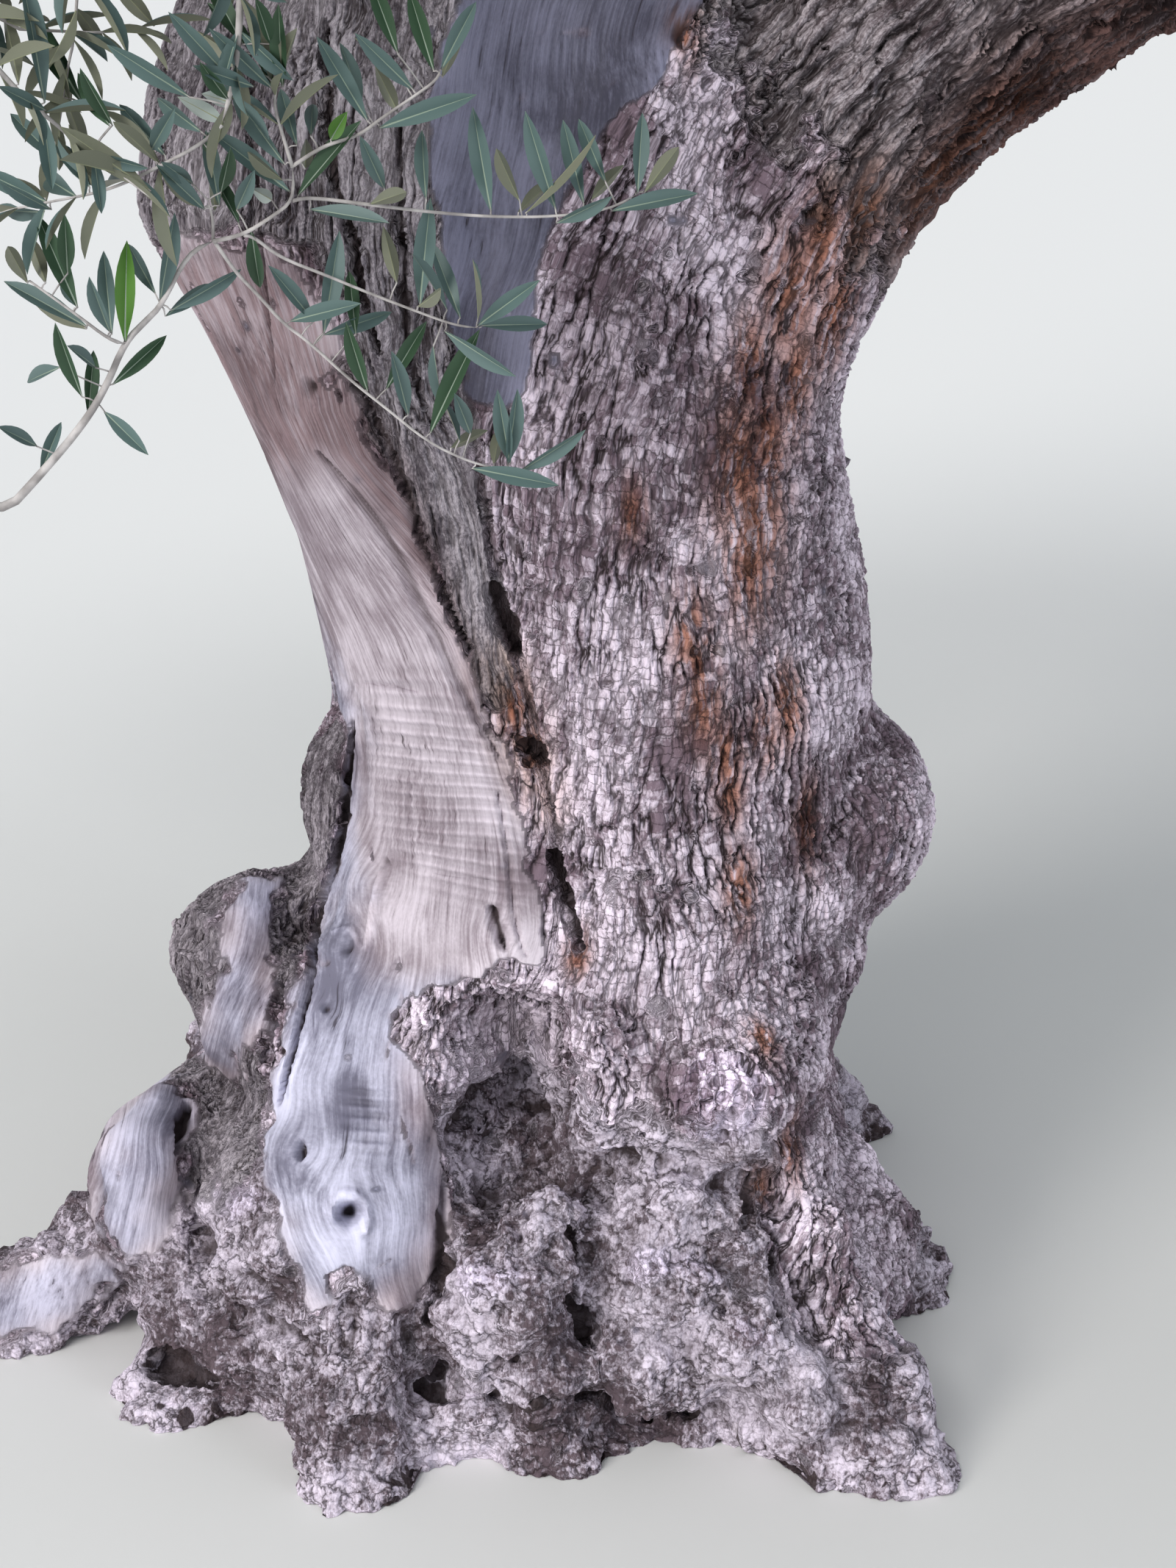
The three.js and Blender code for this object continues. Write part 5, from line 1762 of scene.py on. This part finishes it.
sprig = {
    "full": 0.066,  # a leaf's length, where it is seen side-on
    "width": 0.205,
    "reachForward": 0.7,
    "petiole": 0.0007,
    "steps": 80,
    "hanging": ["drooping stem", "upper stem"],  # these start from the thin bough's end
    "seed": 5,
    "sides": 6,
    "twigs": [
        # what it is, how far along Y both ends lie, the radius of both, which share of it has leaves of
        # its own, and its way across the photo
        ("drooping stem", (-0.475, -0.455), (0.0052, 0.0018), (0.05, 0.66), [(-60, -420), (-170, -120),
            (-225, 200), (-215, 480), (-120, 650), (0, 705), (60, 640), (115, 575), (145, 525), (170, 465),
            (200, 435), (220, 415), (255, 345), (292, 327)]),
        ("upper stem", (-0.5, -0.49), (0.0048, 0.0017), (0.25, 0.98), [(120, -420), (250, -200), (328, -30),
            (325, 50), (318, 115), (300, 172)]),
        ("link", (-0.456, -0.462), (0.0017, 0.0012), None, [(290, 328), (330, 320), (370, 295), (400, 272),
            (398, 225)]),
        ("long twig", (-0.46, -0.42), (0.0015, 0.0009), None, [(398, 273), (420, 268), (500, 278),
            (580, 288), (665, 295), (755, 295), (830, 285), (870, 262)]),
        ("middle twig", (-0.458, -0.425), (0.0014, 0.0009), None, [(332, 320), (345, 322), (380, 350),
            (440, 373), (500, 398), (565, 423), (620, 443), (652, 446)]),
        ("low twig", (-0.455, -0.405), (0.0015, 0.0009), None, [(290, 326), (320, 370), (350, 400),
            (385, 440), (420, 465), (480, 520), (525, 555), (580, 600), (630, 625), (675, 638), (702, 643)]),
        ("high twig", (-0.462, -0.45), (0.0015, 0.001), None, [(398, 226), (440, 198), (488, 185),
            (520, 160), (565, 130), (595, 108), (600, 93)]),
        ("first tuft", (-0.462, -0.48), (0.0014, 0.0009), (0.15, 1.0), [(398, 228), (385, 185), (372, 140),
            (378, 118)]),
        ("second tuft", (-0.455, -0.462), (0.0013, 0.0009), None, [(290, 327), (290, 298), (283, 272)]),
        ("left twig", (-0.49, -0.47), (0.0015, 0.0008), (0.15, 1.0), [(302, 170), (280, 192), (230, 220),
            (165, 252), (120, 265), (65, 275), (0, 288), (-60, 320)]),
        ("slanting twig", (-0.472, -0.5), (0.0022, 0.0009), (0.05, 0.85), [(-175, -110), (-80, 10), (0, 97),
            (35, 135), (75, 168), (100, 190), (175, 245), (222, 282)]),
        ("side twig", (-0.48, -0.463), (0.0009, 0.0014), None, [(40, 382), (100, 425), (150, 463),
            (172, 468)]),
        ("thin twig", (-0.499, -0.42), (0.0014, 0.0007), (0.2, 0.9), [(125, -420), (112, -160), (103, 45),
            (90, 100), (78, 190), (60, 250)]),
        ("top twig", (-0.473, -0.44), (0.0015, 0.0008), (0.1, 0.95), [(-150, -150), (0, 38), (70, 42),
            (150, 45), (215, 33)]),
    ],
    # leaves from foot to tip, by what is seen of them: dark, grey with a painted reflection of the sky,
    # below, pale below, edge-on and young
    "leaves": {
        "deep": [(541, 73, 503, -30), (590, 97, 556, -14), (405, 267, 489, 162), (112, 140, 30, 0),
            (150, 172, 102, 98), (153, 170, 108, 96), (120, 568, 128, 475), (112, 540, 73, 442),
            (153, 523, 228, 456), (342, 312, 353, 395), (484, 455, 475, 367), (500, 532, 470, 442),
            (525, 530, 580, 436), (585, 590, 650, 448), (372, 118, 350, 38), (385, 118, 377, 8),
            (310, 135, 273, 88), (350, 75, 282, 0), (368, 60, 350, 0), (330, 60, 276, -40),
            (325, 305, 290, 232), (292, 215, 280, 178), (300, 262, 315, 205), (105, 418, 50, 290),
            (92, 372, 88, 295)],
        "grey": [(668, 288, 642, 146), (756, 285, 713, 152), (794, 277, 765, 162), (824, 248, 786, 160),
            (867, 263, 875, 152), (832, 287, 950, 261), (757, 303, 832, 270), (580, 272, 572, 175),
            (421, 285, 528, 300), (562, 122, 484, 47), (500, 165, 432, 50), (492, 145, 464, 55),
            (600, 95, 648, 0), (516, 174, 648, 128), (523, 257, 491, 188), (571, 415, 585, 270),
            (626, 433, 587, 327), (650, 443, 732, 382), (655, 443, 747, 440), (440, 453, 463, 315),
            (427, 437, 368, 362), (395, 437, 488, 412), (440, 455, 535, 425), (555, 565, 535, 480),
            (605, 450, 700, 514), (640, 590, 620, 538), (642, 637, 760, 660), (690, 632, 706, 532),
            (694, 630, 676, 533), (395, 262, 285, 175), (388, 224, 312, 124), (404, 198, 380, 118),
            (423, 185, 425, 138), (370, 120, 285, 40), (310, 103, 230, 18), (258, 132, 145, 62),
            (275, 180, 210, 133), (225, 212, 160, 140), (82, 222, 12, 152), (122, 255, 75, 190),
            (62, 150, 0, 118), (60, 140, 32, -40), (60, 288, 0, 288), (106, 418, 82, 370),
            (152, 455, 140, 340), (118, 445, 5, 380), (212, 400, 172, 330), (217, 410, 240, 292),
            (232, 422, 330, 368), (225, 430, 288, 385), (142, 560, 200, 617), (55, 645, 83, 572),
            (50, 607, 0, 580), (205, 205, 236, 150), (278, 285, 215, 225), (298, 280, 280, 175),
            (322, 285, 345, 235), (150, 452, 120, 380), (262, 250, 222, 222), (345, 118, 265, 90),
            (82, 500, 33, 518), (70, 285, 0, 250)],
        "below": [(707, 273, 672, 200), (705, 290, 751, 244), (805, 272, 846, 225), (877, 262, 925, 197),
            (503, 278, 556, 259), (541, 152, 512, 92), (602, 105, 631, 35), (568, 417, 604, 394),
            (613, 610, 661, 585), (672, 632, 680, 580), (385, 245, 333, 207), (415, 230, 417, 192),
            (278, 282, 222, 240), (292, 287, 291, 222), (215, 222, 153, 162), (205, 260, 82, 172),
            (128, 255, 95, 172), (62, 270, 3, 242), (38, 385, 8, 332), (62, 385, 40, 320),
            (118, 447, 40, 402), (25, 115, 8, 18), (365, 105, 268, 45), (540, 385, 522, 310),
            (210, 35, 150, -30)],
        "pale below": [(305, 166, 245, 133), (370, 272, 345, 258), (315, 140, 278, 128)],
        "edge": [(554, 118, 485, 48), (608, 422, 565, 345), (650, 435, 648, 353), (705, 642, 797, 588),
            (625, 600, 603, 540), (715, 290, 815, 188), (130, 500, 95, 470), (590, 470, 600, 560)],
        "fresh": [(170, 465, 172, 328), (450, 190, 470, 155)],
    },
}

sprigTones = {
    # name: tone above and below
    "deep": ((58, 84, 62), (126, 122, 102)),
    "grey": ((94, 116, 114), (120, 123, 106)),
    # grey: the painted blue-grey reflection of the sky on top of the blade
    "pale below": ((90, 112, 100), (164, 176, 172)),
    "fresh": ((84, 128, 52), (120, 150, 84)),
    "midrib": ((146, 162, 146), (142, 146, 118)),
}


def placeAt(pixel, depth):
    # where the way to a pixel of the photo comes to a depth along Y
    way = np.array(photoWay(pixel))
    start = np.array(view["place"])
    return start + way * (depth - start[1]) / way[1]


def closeLeaf():
    # one blade with its own narrow midrib, a metre long and wide before it is sized
    clearSelection()
    bpy.ops.mesh.primitive_grid_add(x_subdivisions=8, y_subdivisions=4, size=1, location=(0.5, 0, 0))
    leaf = bpy.context.object
    bpy.ops.object.transform_apply(location=True, rotation=True, scale=True)
    places = getPlaces(leaf)
    along, across = places[:, 0].copy(), np.rint(places[:, 1] * 4).astype(int)
    outline = [0.05, 0.38, 0.70, 0.91, 1.0, 0.97, 0.82, 0.52, 0.02]  # width at each cell's end
    half = np.interp(along, np.linspace(0, 1, len(outline)), outline) / 2
    rib = np.interp(along, [0, 1], [0.045, 0.006])
    reach = {0: half * 0, 1: rib, 2: half}
    places[:, 1] = sum((np.abs(across) == step) * far for step, far in reach.items()) * np.sign(across)
    places[:, 2] = np.abs(places[:, 1]) * 0.22 - 0.07 * along ** 2 - (across == 0) * 0.004
    faces = [list(face.vertices) for face in leaf.data.polygons]
    middle = [all(abs(across[corner]) <= 1 for corner in face) for face in faces]
    bpy.data.objects.remove(leaf)
    return places, faces, middle


def growSprig(shaped):
    random = np.random.default_rng(sprig["seed"])
    bough = shaped["hanging_bough"]["path"]
    twigs, leaves = Bundle(), Bundle()
    tones = list(sprigTones)
    shape, faces, middle = closeLeaf()
    blade = {name: [tones.index("midrib" if rib else name) for rib in middle] for name in tones}
    lines = []
    for name, ends, radii, leafy, pixels in sprig["twigs"]:
        path = [placeAt(pixel, depth) for pixel, depth in zip(pixels, np.linspace(*ends, len(pixels)))]
        if name in sprig["hanging"]:
            path = [bough[-8], bough[-1], *path]
        path = cutCorners(path)
        twigs.add(*twigShape(path, np.linspace(*radii, len(path) - 1), sprig["sides"]))
        lines.append(sampled(path, sprig["steps"]))
        if leafy:
            first, last = (int(share * sprig["steps"]) for share in leafy)
            leavesOn(lines[-1][first:last], lambda place: True, random, leaves, (shape, faces), blade["grey"])
    feet = np.concatenate(lines)
    feetPixels = photoPixels(feet)
    toCamera = np.array(view["place"])
    for kind, drawn in sprig["leaves"].items():
        tone = blade[kind if kind in tones else "grey"]
        for footX, footY, tipX, tipY in drawn:
            foot = feet[np.hypot(feetPixels[:, 0] - footX, feetPixels[:, 1] - footY).argmin()]
            base = placeAt((footX, footY), foot[1])
            seen = placeAt((tipX, tipY), foot[1])
            short = sprig["full"] ** 2 - np.linalg.norm(seen - base) ** 2
            aside = random.choice([-1, 1]) * math.sqrt(max(0, short)) * sprig["reachForward"]
            tip = placeAt((tipX, tipY), foot[1] + aside)
            length = np.linalg.norm(tip - base)
            way = (tip - base) / length
            roll = math.radians(random.uniform(-38, 38) + (72 if kind == "edge" else 0))
            up = unit(toCamera - base)
            up = unit(up - way * (up @ way))
            up = math.cos(roll) * up + math.sin(roll) * np.cross(way, up)
            if "below" in kind:
                up = -up
            wide = np.cross(up, way) * min(1, 0.075 / length) * sprig["width"]
            points = base + length * (shape[:, :1] * way + shape[:, 1:2] * wide + shape[:, 2:] * up * 0.6)
            leaves.add(points, faces, tone)
            stalk = np.array([foot, (foot + base) / 2 + way * 0.001, base, base + way * 0.004])
            twigs.add(*twigShape(stalk, [sprig["petiole"]] * 3, 3))
    return twigs, leaves


def leafMaterial(name, above, below):
    material, tree, shader = newMaterial(name, 0.48, 0.35)
    side = put(tree, "ShaderNodeNewGeometry").outputs["Backfacing"]
    colour = mixedColour(tree, side, fromTone(above), fromTone(below))
    tree.links.new(colour, shader.inputs["Base Color"])
    return material


def twigMaterial(name, dark, light):
    material, tree, shader = newMaterial(name, 0.8)
    place = put(tree, "ShaderNodeTexCoord").outputs["Object"]
    patches = noise(tree, place, 60.0, 3.0).outputs[0]
    colour = mixedColour(tree, ramp(tree, patches, 0.3, 0.7), fromTone(dark), fromTone(light))
    tree.links.new(colour, shader.inputs["Base Color"])
    return material


def finishMass(name, twigs, leaves, twigBark, leafMaterials):
    for bundle, kind, materials, slot in (
        (twigs, "twigs", [twigBark], "bough_bark"), (leaves, "leaves", leafMaterials, "foliage"),
    ):
        piece = bundle.make(f"{kind}_{name}", materials)
        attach(piece, "root")
        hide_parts("foliage_" + name)
        print(piece.name, triangleCount(piece), "triangles")


def growCrown(shaped):
    leaf = modelLeaf()
    twigBark = twigMaterial("twig bark", (128, 122, 112), (168, 163, 150))
    youngBark = twigMaterial("young bark", (150, 145, 144), (208, 203, 202))
    leafMaterials = [leafMaterial("hanging " + name, *tones) for name, tones in sprigTones.items()]
    finishMass("hanging", *growSprig(shaped), youngBark, leafMaterials)
    leafMaterials = [leafMaterial(name, above, below) for name, (above, below, often) in leafTones.items()]
    for name in masses:
        if name != "hanging":
            finishMass(name, *growMass(name, shaped, leaf), twigBark, leafMaterials)


# Camera, floor and light

studio = {
    "floor": {"size": 300, "tone": (226, 226, 224)},
    "world": ((226, 231, 238), 0.72),
    # where each broad light comes from, what it falls on, its strength, how far it is spread and its tone
    "suns": [
        ((-1.3, -2.1, 3.2), (0, 0, 0), 1.15, 30, (255, 255, 255)),
        ((-1.6, -1.75, 0.84), (0, 0, 0), 1.75, 22, (255, 251, 246)),
        ((2.15, -1.6, 0.80), (0, 0, 0), 0.45, 22, (240, 245, 255)),
    ],
}


def placeCamera():
    clearSelection()
    bpy.ops.object.camera_add(location=view["place"], rotation=(math.radians(view["tilt"]), 0, 0))
    camera = bpy.context.object
    camera.data.lens = view["lens"]
    camera.data.sensor_width = view["sensor"]
    bpy.context.scene.camera = camera


def placeLights():
    for place, aim, strength, spread, tone in studio["suns"]:
        turn = (Vector(aim) - Vector(place)).to_track_quat("-Z", "Y").to_euler()
        clearSelection()
        bpy.ops.object.light_add(type="SUN", location=place, rotation=turn)
        light = bpy.context.object.data
        light.energy, light.angle = strength, math.radians(spread)
        light.color = fromTone(tone)[:3]
    world = bpy.data.worlds.new("soft sky")
    world.use_nodes = True
    tone, strength = studio["world"]
    background = world.node_tree.nodes["Background"]
    background.inputs["Color"].default_value = fromTone(tone)
    background.inputs["Strength"].default_value = strength
    bpy.context.scene.world = world


def layFloor():
    clearSelection()
    bpy.ops.mesh.primitive_plane_add(size=studio["floor"]["size"], location=(0, 0, -0.0005))
    floor = bpy.context.object
    floor.name = "floor"
    material, tree, shader = newMaterial("pale floor", 0.9)
    shader.inputs["Base Color"].default_value = fromTone(studio["floor"]["tone"])
    floor.data.materials.append(material)
    bpy.ops.object.transform_apply(location=True, rotation=True, scale=True)


print("limbs")
shapedLimbs = shapeLimbs()
barkSkin = roughSkin(shapedLimbs)
print("rough skin", len(barkSkin.data.vertices))
swell(barkSkin)
carve(barkSkin, forms)
barkSkin = setLumps(barkSkin)
remeshed(barkSkin, skin["voxel"], skin["smoothing"])
print("even skin", len(barkSkin.data.vertices))
refine(barkSkin)
print("fine skin", len(barkSkin.data.vertices))
carve(barkSkin, marks, tapered=True)
halved(barkSkin, (0, 0, 0), (0, 0, 1), True)
coverGround(barkSkin, shapedLimbs)
print("grounds told apart")
finishSkin(barkSkin)
print("relief raised")
growCrown(shapedLimbs)
print("crown grown")
placeCamera()
placeLights()
layFloor()
bpy.context.scene.view_settings.view_transform = "Standard"
